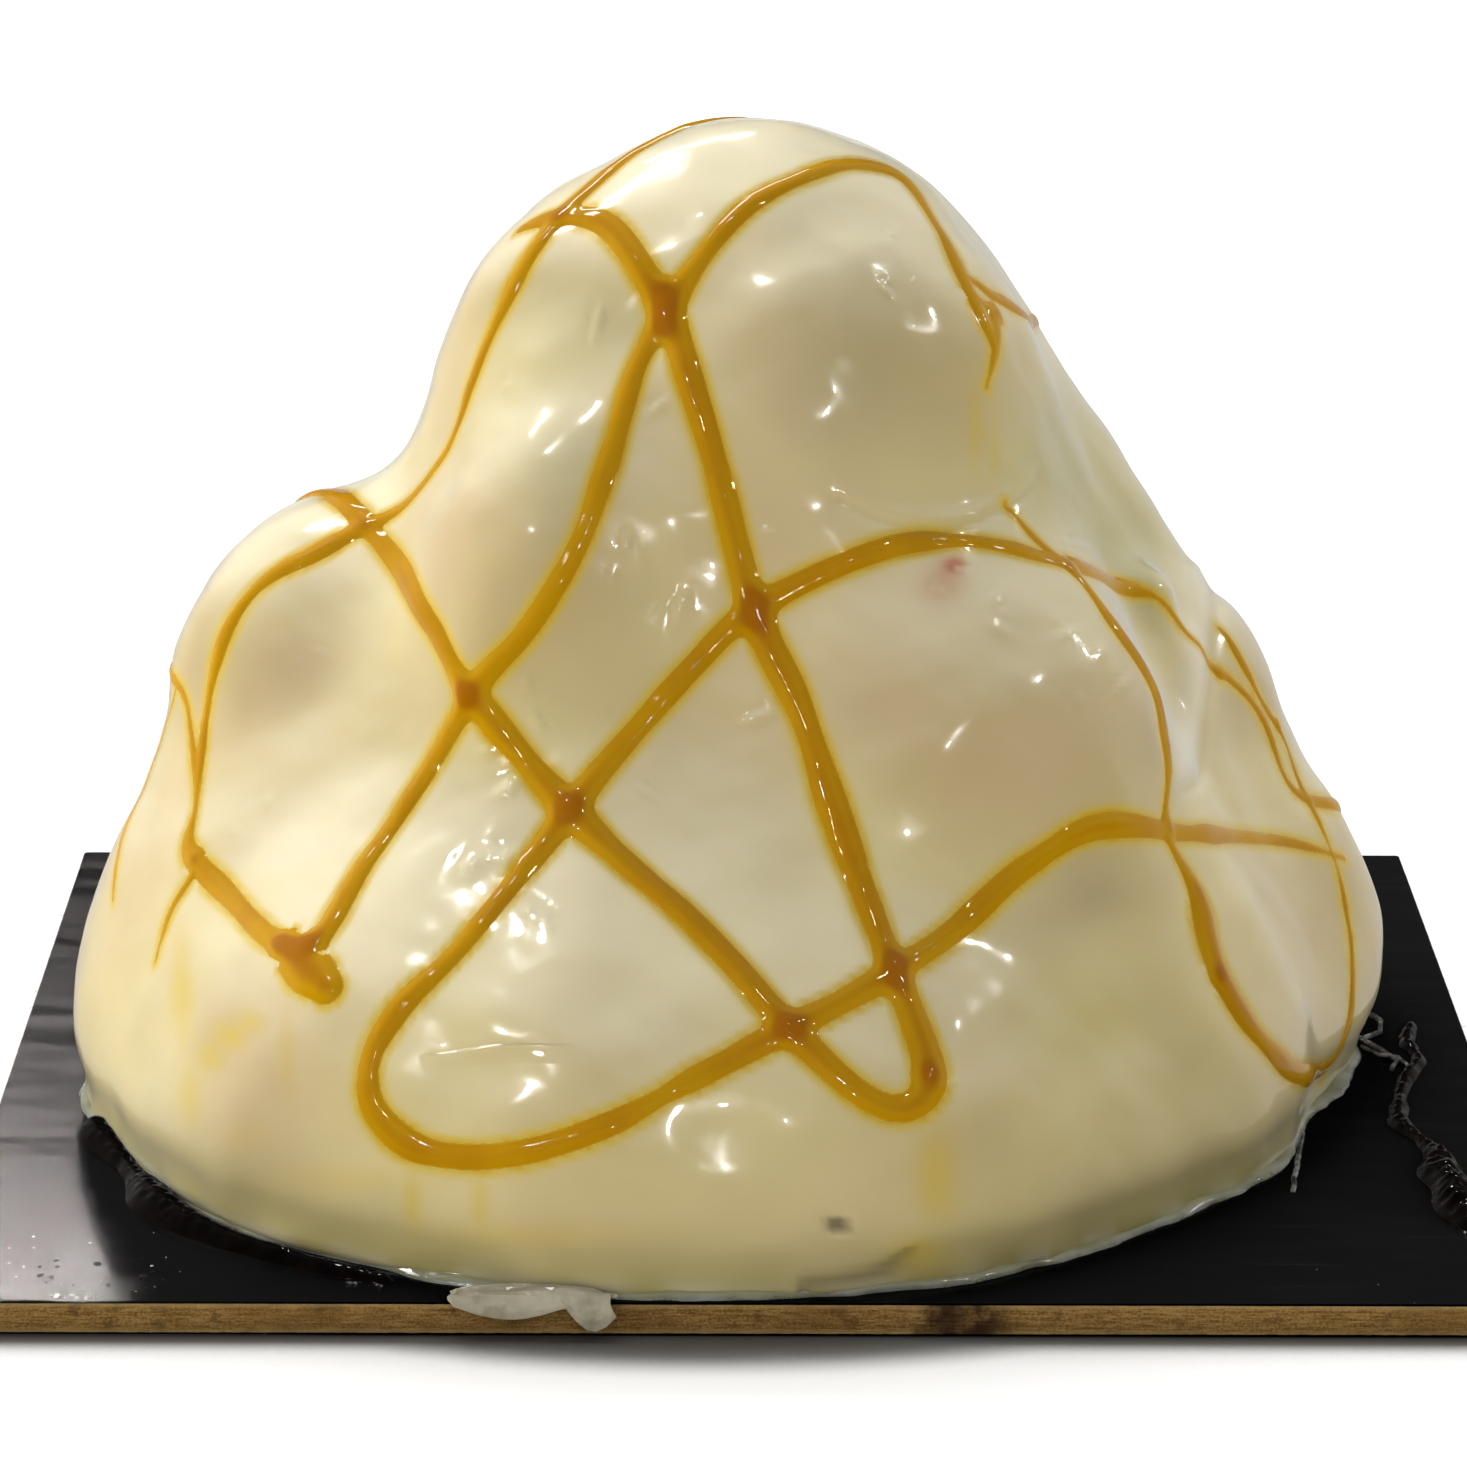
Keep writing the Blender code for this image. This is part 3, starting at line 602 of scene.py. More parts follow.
def relief(points):
    """How far the coat stands out from its plain shape at each point: swells, wrinkles, the pit,
    the hem and the lip on the board."""
    x, z, front = on_front_sheet(points)
    height = 0.16 * waves(points, 24.0, 21) + 0.022 * waves(points, 9.0, 22)
    for spot_x, spot_z, length, width, tall, lean in WRINKLES:
        close = np.abs(x - spot_x) + np.abs(z - spot_z) < 3.5 * length + 3.0
        turn = math.radians(lean)
        along = (x[close] - spot_x) * math.cos(turn) + (z[close] - spot_z) * math.sin(turn)
        across = (z[close] - spot_z) * math.cos(turn) - (x[close] - spot_x) * math.sin(turn)
        bump = np.exp(-((along / length) ** 2) - ((across + 0.25 * width) / width) ** 2)
        dip = np.exp(-((along / length) ** 2) - ((across - 1.1 * width) / width) ** 2)
        height[close] += front[close] * tall * (bump - 0.6 * dip)
    gap, side = off_line(x, z, STREAK)
    height += front * 0.06 * np.exp(-((gap / 0.9) ** 2)) * side
    gap, side = off_line(x, z, HEM)
    height += front * 0.45 * np.exp(-((gap / 1.6) ** 2)) * np.tanh(side * gap / 0.35)
    gap, side = off_line(x, z, FOLD_LINE)
    height += front * 0.55 * np.exp(-((gap / 1.3) ** 2))
    height -= front * 0.35 * np.exp(-(((side * gap - 2.6) / 0.9) ** 2))
    gap, side = off_line(x, z, CREASE)
    height += front * 0.35 * np.exp(-((gap / 1.5) ** 2)) * np.tanh(side * gap / 0.5)
    pit = ((x - PIT[0]) / PIT_SIZE[0]) ** 2 + ((z - PIT[1]) / PIT_SIZE[1]) ** 2
    height -= front * PIT_SIZE[2] * np.exp(-(pit**2))
    height += front * 0.25 * np.exp(-((np.sqrt(pit) - 1.5) ** 2) / 0.18)
    above = points[:, 2] - BOARD_TOP
    height += 0.45 * np.exp(-(((above - 2.4) / 1.5) ** 2)) * (1.0 + 0.4 * waves(points, 18.0, 25))
    height -= 0.9 * np.exp(-above / 0.55)
    return height


def spot_share(x, z, spot_x, spot_z, wide, tall):
    """1 in the middle of an upright oval on the front sheet, fading to 0."""
    return np.exp(-(((x - spot_x) / wide) ** 2) - ((z - spot_z) / tall) ** 2)


builder = bmesh.new()
bmesh.ops.create_uvsphere(builder, u_segments=COAT_COLUMNS, v_segments=COAT_ROWS + 3, radius=1.0)
start = np.array([vert.co for vert in builder.verts])
even_turn = np.arctan2(start[:, 1], start[:, 0]) + math.pi / 2
turn = even_turn - FRONT_CROWDING * np.sin(even_turn) - math.pi / 2
row = np.rint(np.arccos(np.clip(start[:, 2], -1.0, 1.0)) / math.pi * (COAT_ROWS + 3))
reach = foot_radius(turn)
foot_tilt = np.arctan2(FOOT - INNER[2], reach)
tilt = math.pi / 2 + (foot_tilt - math.pi / 2) * np.minimum(row / COAT_ROWS, 1.0)
way = np.column_stack([np.cos(tilt) * np.cos(turn), np.cos(tilt) * np.sin(turn), np.sin(tilt)])
bare_coat = onto_coat(np.array(INNER) + way)
shape = bare_coat + way_out(bare_coat) * relief(bare_coat)[:, None]
# The foot is drawn down onto the board, and closed by a flat.
low_rows = np.clip((row - (COAT_ROWS - 6)) / 6.0, 0.0, 1.0)
shape[:, 2] = shape[:, 2] * (1.0 - low_rows) + low_rows * (
    BOARD_TOP + 0.01 + (shape[:, 2] - BOARD_TOP) * (1.0 - low_rows))
under = row > COAT_ROWS
rim = {}
for index in np.flatnonzero(row == COAT_ROWS):
    rim[round(float(even_turn[index]), 4)] = shape[index]
middle = np.array([INNER[0], INNER[1], BOARD_TOP + 0.01])
for index in np.flatnonzero(under):
    edge = rim.get(round(float(even_turn[index]), 4), middle)
    shape[index] = middle + (edge - middle) * (1.0 - (row[index] - COAT_ROWS) / 3.0)
for vert, spot in zip(builder.verts, shape):
    vert.co = spot * MM
bmesh.ops.recalc_face_normals(builder, faces=builder.faces)
mesh = bpy.data.meshes.new("poured_coat")
builder.to_mesh(mesh)
builder.free()
mesh.shade_smooth()
coat = bpy.data.objects.new("poured_coat", mesh)
bpy.context.scene.collection.objects.link(coat)

# Where the coat has pooled between the puffs, is stretched thin and milky, or shows what is under it.
x, z, front = on_front_sheet(bare_coat)
_, pooled, off_fold = coat_field(bare_coat, bare=True)
above = bare_coat[:, 2] - BOARD_TOP
facing = way_out(bare_coat)
milky = 1.1 * front * np.exp(-((off_line(x, z, FOLD_LINE)[0] / 1.5) ** 2))
milky += 0.12 * np.exp(-np.clip(off_fold - 0.5, 0.0, 50.0) / 2.2)
cloudy = np.clip(0.5 + 0.6 * waves(bare_coat, 16.0, 31), 0.0, 1.0)
milky += 0.8 * np.exp(-((above - 1.2) / 1.6) ** 2) * cloudy


def spots_share(spots):
    """How much each coat point lies in soft spots: strength, sheet position, half width, half height."""
    return front * sum(strength * spot_share(x, z, *spot) for strength, *spot in spots)


blush = spots_share([(1.0, 28.0, 73.6, 1.7, 1.3), (0.5, 26.2, 71.0, 3.0, 2.8)])
bruise = spots_share([
    (0.7, 48.5, 27.0, 5.0, 4.0), (0.5, 40.0, 24.0, 9.0, 6.0), (0.5, 56.0, 50.0, 5.0, 9.0),
    (0.4, 14.0, 93.0, 14.0, 12.0), (0.35, -58.0, 58.0, 12.0, 7.0), (0.6, -76.0, -9.0, 12.0, 7.0),
    (0.5, -20.0, 110.0, 7.0, 8.0),
])
mossy = spots_share([
    (1.0, 42.0, 88.0, 9.0, 12.0), (0.6, 14.0, 100.0, 8.0, 9.0), (0.5, 46.0, 9.0, 9.0, 8.0),
    (0.5, -24.0, 86.0, 7.0, 10.0), (1.2, 52.0, 74.0, 6.0, 9.0), (0.35, -20.0, 108.0, 7.0, 8.0),
])
put_values(coat, "pooled", np.clip(pooled, 0.0, 1.6))
put_values(coat, "milky", np.clip(milky, 0.0, 1.0))
put_values(coat, "blush", np.clip(blush, 0.0, 1.0))
put_values(coat, "bruise", np.clip(bruise, 0.0, 1.0))
put_values(coat, "mossy", np.clip(mossy, 0.0, 1.0))
hollow = ((x - PIT[0]) / PIT_SIZE[0]) ** 2 + ((z - PIT[1]) / PIT_SIZE[1]) ** 2
gap, side = off_line(x, z, HEM)
under_hem = 0.7 * np.exp(-(((gap * side + 0.8) / 0.9) ** 2))
put_values(coat, "shaded", front * np.clip(np.exp(-(hollow**2)) + under_hem, 0.0, 1.0))
crinkled = np.zeros(len(x))
for spot_x, spot_z, length, width, tall, lean in WRINKLES:
    reach = 0.8 * length + 0.6
    strength = min(tall / 0.22, 1.2)
    crinkled = np.maximum(crinkled, strength * spot_share(x, z, spot_x, spot_z, reach, reach))
put_values(coat, "crinkled", front * crinkled)
# Painted shade: steep faces just above the board, where the coat tucks under, are marked for darkening to
# olive.
steep = np.clip(0.75 - facing[:, 2], 0.0, 1.0)
put_values(coat, "foot_shade", np.exp(-np.clip(above, 0.0, 90.0) / 4.2) * steep)

OVER_PUFFS = (0.550, 0.428, 0.205)
POOLED_CREAM = (0.670, 0.555, 0.275)
PAINTED_TOP_LIGHT = (0.890, 0.820, 0.590)
PUFF_BROWN = (0.440, 0.330, 0.160)
MOSS = (0.410, 0.380, 0.150)
BLUSH = (0.560, 0.220, 0.130)
BRUISE = (0.360, 0.280, 0.190)
MILK = (0.740, 0.680, 0.520)
STAIN_YELLOW = (0.620, 0.440, 0.035)
STAIN_AMBER = (0.600, 0.350, 0.010)
FOOT_SHADE_OLIVE = (0.280, 0.260, 0.050)

cream, tree, shader = new_surface(
    "poured_cream_coat", Subsurface_Weight=0.30, Subsurface_Radius=(1.0, 0.75, 0.4), Subsurface_Scale=0.003,
    IOR=1.45, Specular_IOR_Level=0.4, Coat_Weight=0.4, Coat_Roughness=0.03, Sheen_Weight=0.22,
    Sheen_Roughness=0.35)
pooling = ranged(tree, marked(tree, "pooled"), 0.25, 0.95)
colour = tinted(tree, pooling, OVER_PUFFS, POOLED_CREAM)
cloudy = sums(tree, "MULTIPLY", patch(tree, 26.0, 11.0, 0.40, 0.70, detail=1.0), 0.40)
colour = tinted(tree, cloudy, colour, PUFF_BROWN)
lighter = sums(tree, "MULTIPLY", patch(tree, 17.0, 12.0, 0.40, 0.72, detail=1.0), 0.35)
colour = tinted(tree, lighter, colour, POOLED_CREAM)
mottled = sums(tree, "MULTIPLY", patch(tree, 7.0, 13.0, 0.40, 0.80, detail=1.0), 0.10)
colour = tinted(tree, mottled, colour, MOSS)
rosy = sums(tree, "MULTIPLY", patch(tree, 34.0, 25.0, 0.44, 0.66, detail=2.0), 0.22)
colour = tinted(tree, rosy, colour, (0.640, 0.440, 0.310))
geometry = add(tree, "ShaderNodeNewGeometry").outputs
facing_up = add(tree, "ShaderNodeSeparateXYZ", {0: geometry["Normal"]}).outputs["Z"]
# Painted light: faces that point up are tinted paler cream, as if lit from above.
colour = tinted(tree, ranged(tree, facing_up, 0.35, 0.95, 0.0, 0.8), colour, PAINTED_TOP_LIGHT)
colour = tinted(tree, sums(tree, "MULTIPLY", marked(tree, "mossy"), 0.65), colour, MOSS)
colour = tinted(tree, sums(tree, "MULTIPLY", marked(tree, "bruise"), 0.45), colour, BRUISE)
# Painted shade, tinted olive, low on the coat near the board.
colour = tinted(tree, sums(tree, "MULTIPLY", marked(tree, "foot_shade"), 0.9), colour, FOOT_SHADE_OLIVE)
colour = tinted(tree, sums(tree, "MULTIPLY", marked(tree, "milky"), 0.7), colour, MILK)
blotched = sums(tree, "MULTIPLY", marked(tree, "blush"), patch(tree, 3.0, 24.0, 0.20, 0.50, detail=1.0))
colour = tinted(tree, blotched, colour, BLUSH)
colour = tinted(tree, sums(tree, "MULTIPLY", marked(tree, "shaded"), 0.75), colour, (0.150, 0.120, 0.065))
colour = tinted(tree, ranged(tree, marked(tree, "caramel_stain"), 0.0, 0.7, 0.0, 0.8), colour, STAIN_YELLOW)
colour = tinted(tree, ranged(tree, marked(tree, "caramel_stain"), 0.6, 1.0, 0.0, 0.8), colour, STAIN_AMBER)
tree.links.new(colour, shader.inputs["Base Color"])
rough = sums(tree, "MULTIPLY_ADD", patch(tree, 8.0, 14.0, 0.35, 0.7, detail=1.0), 0.10, 0.12)
tree.links.new(rough, shader.inputs["Roughness"])
fine = bumped(tree, shader, patch(tree, 2.6, 15.0, 0.1, 0.9, detail=0.0), 0.022)
broad = bumped(tree, shader, patch(tree, 8.0, 16.0, 0.1, 0.9, detail=0.0), 0.05, before=fine)
creased = sums(tree, "MULTIPLY", patch(tree, 2.0, 23.0, 0.2, 0.8, detail=1.0), marked(tree, "crinkled"))
creased = bumped(tree, shader, creased, 0.14, before=broad)
# One long crease across the low front, on the front sheet of metres seen from FRONT_EYE.
axes = add(tree, "ShaderNodeSeparateXYZ", {0: add(tree, "ShaderNodeTexCoord").outputs["Object"]}).outputs
eye_x, eye_y, eye_z = (part * MM for part in FRONT_EYE)
reach = sums(tree, "DIVIDE", -eye_y, sums(tree, "SUBTRACT", axes["Y"], eye_y))
sheet_x = sums(tree, "MULTIPLY_ADD", sums(tree, "SUBTRACT", axes["X"], eye_x), reach, eye_x)
sheet_z = sums(tree, "MULTIPLY_ADD", sums(tree, "SUBTRACT", axes["Z"], eye_z), reach, eye_z)
bow = sums(tree, "MULTIPLY", sums(tree, "SINE", sums(tree, "MULTIPLY", sheet_x, 330.0)), 0.0003)
crease_z = sums(tree, "ADD", sums(tree, "MULTIPLY_ADD", sheet_x, 0.077, 0.0079), bow)
beside = sums(tree, "SUBTRACT", sheet_z, crease_z)
step_up = ranged(tree, beside, -0.30 * MM, 0.30 * MM, 1.0, 0.0)
fade_off = ranged(tree, beside, -2.8 * MM, -0.4 * MM)
in_run = sums(
    tree, "MULTIPLY", ranged(tree, sheet_x, -0.045, -0.041), ranged(tree, sheet_x, -0.026, -0.0225, 1.0, 0.0))
at_front = ranged(tree, axes["Y"], -0.03, -0.01, 1.0, 0.0)
ledge = sums(
    tree, "MULTIPLY", sums(tree, "MULTIPLY", step_up, fade_off), sums(tree, "MULTIPLY", in_run, at_front))
bumped(tree, shader, ledge, 0.26, before=creased)
coat.data.materials.append(cream)
# The board's film is too dull to mirror the coat.
coat.visible_glossy = False
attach(coat, "root")
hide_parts("coated_cake")


# The coat has run out at its foot into a thin glassy lip that the black board shows through.
LIP_POINTS = 1000
LIP_TONGUES = [
    (-86.0, -22.0, 1.0, 12.0), (-38.0, -95.0, 1.2, 9.0), (81.0, -12.0, 1.8, 10.0), (66.0, -50.0, 1.0, 7.0),
    (48.0, -76.0, 0.6, 8.0), (30.0, 86.0, 1.2, 10.0), (-60.0, 66.0, 1.2, 9.0),
]
# Across the lip: share of its width outward, or millimetres inward below 0, and share of its height.
LIP_PROFILE = ((-1.5, 1.9), (-0.4, 1.25), (0.15, 0.95), (0.5, 0.72), (0.8, 0.48), (0.95, 0.24), (1.0, -0.1))
SAUCED_FROM = -161             # degrees round the foot between which sauce lies against it
SAUCED_TO = -115
LIP_GREEN = (0.290, 0.280, 0.130)
LIP_PALE = (0.430, 0.440, 0.360)

lip_turn = np.linspace(-math.pi, math.pi, LIP_POINTS, endpoint=False)
lip_way = np.column_stack([np.cos(lip_turn), np.sin(lip_turn)])
lip_start = np.array(INNER[:2]) + lip_way * foot_radius(lip_turn)[:, None]
level = np.column_stack([lip_start, np.zeros(LIP_POINTS)])
lip_wide = 0.70 + 0.28 * waves(level, 20.0, 71) + 0.08 * waves(level, 7.0, 72)
for tongue_x, tongue_y, extra, near in LIP_TONGUES:
    lip_wide += extra * np.exp(-((level[:, 0] - tongue_x) ** 2 + (level[:, 1] - tongue_y) ** 2) / near**2)
# Where sauce lies against the foot the lip stays short.
past_start = np.clip((lip_turn - math.radians(SAUCED_FROM)) / 0.07, 0.0, 1.0)
before_end = np.clip((math.radians(SAUCED_TO) - lip_turn) / 0.07, 0.0, 1.0)
sauced = past_start * before_end
lip_wide *= 1.0 - 0.8 * sauced
room = np.where(lip_way[:, 1] < -0.1, (-99.7 - lip_start[:, 1]) / np.minimum(lip_way[:, 1], -0.1), 9.0)
lip_wide = np.clip(lip_wide, 0.12, np.clip(room, 0.1, 4.0))
lip_high = (0.85 + 0.12 * waves(level, 14.0, 73)) * (1.0 - 0.5 * sauced)
rings = []
outness = []
for share, rise in LIP_PROFILE:
    out_by = lip_wide * share if share > 0.0 else np.full(LIP_POINTS, share)
    spot = lip_start + lip_way * out_by[:, None]
    rings.append(np.column_stack([spot, BOARD_TOP + rise * lip_high]))
    outness.append(np.full(LIP_POINTS, max(share, 0.0)))
faces = []
for ring in range(len(rings) - 1):
    for k in range(LIP_POINTS):
        after = (k + 1) % LIP_POINTS
        faces.append((ring * LIP_POINTS + k, (ring + 1) * LIP_POINTS + k,
                      (ring + 1) * LIP_POINTS + after, ring * LIP_POINTS + after))
glassy, tree, shader = new_surface(
    "thin_coat_lip", IOR=1.45, Coat_Weight=0.4, Coat_Roughness=0.03, Roughness=0.15)
outer = marked(tree, "outness")
colour = tinted(tree, ranged(tree, outer, 0.1, 0.9), LIP_GREEN, LIP_PALE)
colour = tinted(tree, sums(tree, "MULTIPLY", patch(tree, 6.0, 17.0, 0.4, 0.65), 0.6), colour, LIP_GREEN)
tree.links.new(colour, shader.inputs["Base Color"])
see_through = ranged(tree, outer, 0.3, 1.0, 0.98, 0.60)
tree.links.new(sums(tree, "MULTIPLY_ADD", patch(tree, 4.0, 18.0), -0.12, see_through), shader.inputs["Alpha"])
bumped(tree, shader, patch(tree, 2.2, 19.0, 0.1, 0.9, detail=0.0), 0.05)
lip = piece("coat_lip", np.vstack(rings), faces, glassy)
put_values(lip, "outness", np.concatenate(outness))
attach(lip, "root")
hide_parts("coated_cake")


# ---- Caramel strands -----------------------------------------------------------------------------
# Clear amber caramel, drizzled warm from a spoon in long loops over the set coat. Where two strands
# cross they have run together into a thicker web, and the thin edges have stained the coat yellow.

STRANDS = {
    "long_left": (1.45, [
        (-30.5, 119), (-25, 121), (-18.5, 119.5), (-11, 108), (-7.5, 98), (-4.5, 88), (1, 67),
        (7, 54), (11.5, 40.5), (18.5, 21), (24.5, 5.5), (25.5, 0), (22, -3.5), (16, -1.5), (6, 8),
        (-6, 22), (-24, 39), (-37, 55), (-43, 65.5), (-48.5, 75.5), (-56, 83.5)],
        [(-60, 78), (-54, 64), (-38, 58), (-18, 66), (0, 82), (6, 100), (-4, 114), (-18, 116)]),
    "over_the_top": (1.3, [
        (32.5, 103), (29, 112), (25, 120), (20.5, 126), (14.5, 128), (7, 126), (-2, 120.5),
        (-11, 108), (-15, 100), (-19, 86.5), (-23, 75.5), (-29.5, 64.5), (-37, 55.5), (-43, 45),
        (-51, 33), (-58.5, 20.5), (-64.5, 20.5), (-74.5, 31), (-75, 38.5), (-73.5, 51.5),
        (-67.5, 68.5), (-59, 74.5), (-50, 79), (-41, 88), (-37, 98.5), (-31.5, 111), (-25, 121),
        (-14.5, 130)],
        [(-2, 132), (12, 124), (24, 108), (28, 90), (20, 70), (2, 54), (-18, 42), (-38, 30),
         (-46, 16), (-36, 6), (-18, 8)]),
    "cross_right": (1.35, [
        (81.5, 32.5), (72.5, 35), (60.5, 36), (48, 37), (38.5, 31.5), (29.5, 23), (20, 16), (6, 8),
        (-7.5, 0.5), (-20, -6.5), (-34, -10.5), (-45, -9.5), (-51, -4), (-51.5, 3.5), (-47.5, 10.5),
        (-37.5, 21.5), (-24, 39), (-16.5, 48.5), (-7.5, 59), (0.5, 67), (14, 74), (25.5, 77),
        (42, 74), (50.5, 70.5), (60, 63), (70, 52.5), (76.5, 41)],
        [(76, 28), (64, 12), (44, 8), (26, 18), (10, 38), (-8, 58), (-26, 78), (-34, 96)]),
    "right_loop": (1.15, [
        (34.5, 82), (40, 76), (45.5, 71), (50, 64.5), (55, 56), (57, 46.5), (57.5, 36.5),
        (61.5, 28), (63.5, 19.5), (68.5, 10), (75, 2.5), (79.5, 2.5), (82.5, 8), (83, 20),
        (79.5, 34), (73.5, 48), (69, 56), (63.5, 65)], []),
    "right_edge": (0.9, [(29, 113), (33.5, 110), (37.5, 107)],
        [(38, 98), (28, 84), (8, 76), (-14, 82), (-30, 96)]),
    "left_edge": (0.8, [(-75, 40), (-75.5, 50), (-77, 57)],
        [(-74, 56), (-66, 44), (-58, 26), (-42, 12), (-22, 20), (-2, 34), (24, 44), (46, 56)]),
    "left_tail": (0.7, [(-74.5, 31), (-78, 25.5), (-81, 17)], []),
    "left_line": (0.5, [(-77, 56), (-79, 49.5), (-82.5, 40.5), (-86.5, 26)], []),
    "right_web": (1.0, [(29.6, 110.5), (32.4, 108), (32.8, 104), (31.8, 97.5)], []),
}
# How wide a strand is against its own half width, at a few places on the front sheet.
WIDENINGS = [
    (-11, 108, 1.25, 7), (-3, 87, 1.05, 8), (1, 67, 1.15, 6), (11.5, 40.5, 1.15, 14), (20, 12, 1.2, 8),
    (24.5, 2, 1.35, 6), (6, 8, 1.15, 6), (-37, 55.5, 1.15, 6), (-24, 39, 1.15, 6), (-43, 45, 1.1, 8),
    (-56, 25, 1.1, 9), (-72, 28, 1.1, 6), (-48, -8, 1.2, 8), (-33, 106, 0.6, 9), (-39, 92, 0.55, 9),
    (-45, 83, 0.6, 6), (-67, 70, 0.75, 9), (-73, 52, 0.6, 12), (-75, 40, 0.5, 7), (31.8, 97.5, 0.4, 7),
    (25, 120, 0.55, 6), (31, 77.5, 0.7, 7), (40, 74.5, 0.75, 5), (55.0, 69.8, 0.35, 5), (60, 63, 0.4, 7),
    (68, 55, 0.5, 7), (74, 47, 0.5, 8), (50, 64.5, 1.5, 5), (54, 58, 1.7, 5), (57, 50, 1.5, 5),
    (57.5, 41, 0.65, 4), (59.0, 34, 0.7, 4), (62.5, 25, 1.9, 7), (67, 14, 1.9, 8), (75, 4, 1.5, 5),
    (81, 25, 0.55, 20), (36.5, 80, 0.55, 4), (70, 36, 0.75, 8), (80, 33, 0.65, 6), (-80, 20, 0.6, 8),
]
# Drops where strands meet or end: sheet position, half width.
DROPS = [
    ((-11.2, 111), 1.9), ((-11, 108.5), 2.1), ((-11, 105.8), 1.9), ((-38, 55.5), 2.0), ((-24, 39), 2.1),
    ((0.6, 68.5), 2.0), ((1.4, 65.5), 2.1), ((20, 17.5), 2.1), ((20.5, 14.5), 2.1), ((6, 8), 2.3),
    ((-63.2, 20.0), 2.4), ((-59.8, 19.2), 2.6), ((-61.8, 18.8), 3.0), ((-60.4, 16.6), 3.2),
    ((-58.6, 15.2), 3.0), ((-57.0, 13.4), 2.2), ((33, 108), 1.9),
    ((25, 1.5), 1.9), ((64.5, 16), 1.5), ((-74.7, 32), 1.4),
    ((64, 58.5), 1.0), ((72, 51.5), 1.0), ((57.5, 37.5), 1.3), ((43.5, 73), 1.2),
]
SOFTNESS = 0.8                 # how far a strand's pull reaches, against its half width
STRAND_RISE = 0.27             # height of a strand's middle against its half width
STRAND_SPREAD = 1.22           # how far a strand has spread since it landed
EDGE_SINK = 0.12               # how far its hidden rim dips into the coat
FIRST_CELLS = 49               # cells along a side of the cube of directions, before three halvings


def strand_spots():
    """Close points along every strand on the coat, with the half width at each."""
    spots = []
    widths = []
    for radius, fore, back in STRANDS.values():
        knots = thrown(FRONT_EYE, fore)
        if back:
            knots = np.vstack([knots, thrown(BACK_EYE, back)])
        run = onto_coat(smooth_run(knots))
        lengths = np.concatenate([[0.0], np.cumsum(np.linalg.norm(np.diff(run, axis=0), axis=1))])
        even = np.arange(0.0, lengths[-1], 0.4)
        line = np.column_stack([np.interp(even, lengths, run[:, axis]) for axis in range(3)])
        x, z, front = on_front_sheet(line)
        wide = np.full(len(line), 1.0)
        for spot_x, spot_z, share, near in WIDENINGS:
            wide += (share - 1.0) * front * np.exp(-((x - spot_x) ** 2 + (z - spot_z) ** 2) / (0.6 * near**2))
        wide *= 1.0 + 0.07 * waves(line, 16.0, 41)
        ends = np.minimum(even, lengths[-1] - even)
        wide *= 0.45 + 0.55 * np.clip(ends / 4.0, 0.0, 1.0)
        spots.append(line)
        widths.append(radius * STRAND_SPREAD * np.clip(wide, 0.3, 2.4))
    return np.vstack(spots), np.concatenate(widths)


def fullness(points, spots, widths, shares):
    """How full of caramel, or of sauce, each point is: 1 on the middle of a straight run, more where
    runs meet, and the edge where it falls to exp(-1 / SOFTNESS squared). Also the width there."""
    cell = 6.5
    total = np.full(len(points), 1e-12)
    wide = np.zeros(len(points))
    held = {}
    for index, key in enumerate(map(tuple, np.floor(spots / cell).astype(int))):
        held.setdefault(key, []).append(index)
    keys = np.floor(points / cell).astype(int)
    order = np.lexsort(keys.T)
    cuts = np.flatnonzero(np.any(np.diff(keys[order], axis=0), axis=1)) + 1
    for group in np.split(order, cuts):
        key = keys[group[0]]
        close = []
        for side in np.ndindex(3, 3, 3):
            close += held.get(tuple(key + np.array(side) - 1), [])
        if not close:
            continue
        reach = SOFTNESS * widths[close]
        gaps = ((points[group][:, None, :] - spots[close][None, :, :]) ** 2).sum(axis=2)
        pull = np.exp(-gaps / reach**2) * shares[close]
        total[group] += pull.sum(axis=1)
        wide[group] += (pull * widths[close]).sum(axis=1)
    return total, wide / total


def run_height(points, spots, widths, shares, rise):
    """Height of the poured run over its bed, below zero outside its edge."""
    full, wide = fullness(points, spots, widths, shares)
    lens = 1.0 + SOFTNESS**2 * np.log(full)
    domed = np.where(lens > 0.0, np.abs(lens) ** 1.1, lens * 0.6)
    return rise * np.maximum(wide, 0.5) * domed, lens


strand_points, strand_widths = strand_spots()
strand_shares = 0.4 / (math.sqrt(math.pi) * SOFTNESS * strand_widths)
drop_points = thrown(FRONT_EYE, [spot for spot, _ in DROPS])
drop_widths = np.array([wide for _, wide in DROPS])
caramel_points = np.vstack([strand_points, drop_points])
caramel_widths = np.concatenate([strand_widths, drop_widths])
caramel_shares = np.concatenate([strand_shares, np.full(len(drop_points), 0.9)])
nearest_caramel = kdtree.KDTree(len(caramel_points))
for index, spot in enumerate(caramel_points):
    nearest_caramel.insert(spot, index)
nearest_caramel.balance()


def off_caramel(points):
    """Distance from each point to the edge of the nearest strand."""
    found = [nearest_caramel.find(spot)[1:] for spot in points]
    index = np.array([near[0] for near in found])
    return np.array([near[1] for near in found]) - caramel_widths[index]


def cube_ways(face, i, j, cells):
    """Directions from INNER for corners i, j of a cube's face cut into cells."""
    a = np.tan((2.0 * i / cells - 1.0) * math.pi / 4)
    b = np.tan((2.0 * j / cells - 1.0) * math.pi / 4)
    one = np.ones(len(a))
    sides = [(one, a, b), (-one, -a, b), (-a, one, b), (a, -one, b), (-b, a, one), (b, a, -one)]
    way = np.zeros((len(a), 3))
    for side, (x, y, z) in enumerate(sides):
        here = face == side
        way[here] = np.column_stack([x, y, z])[here]
    return way / np.linalg.norm(way, axis=1)[:, None]


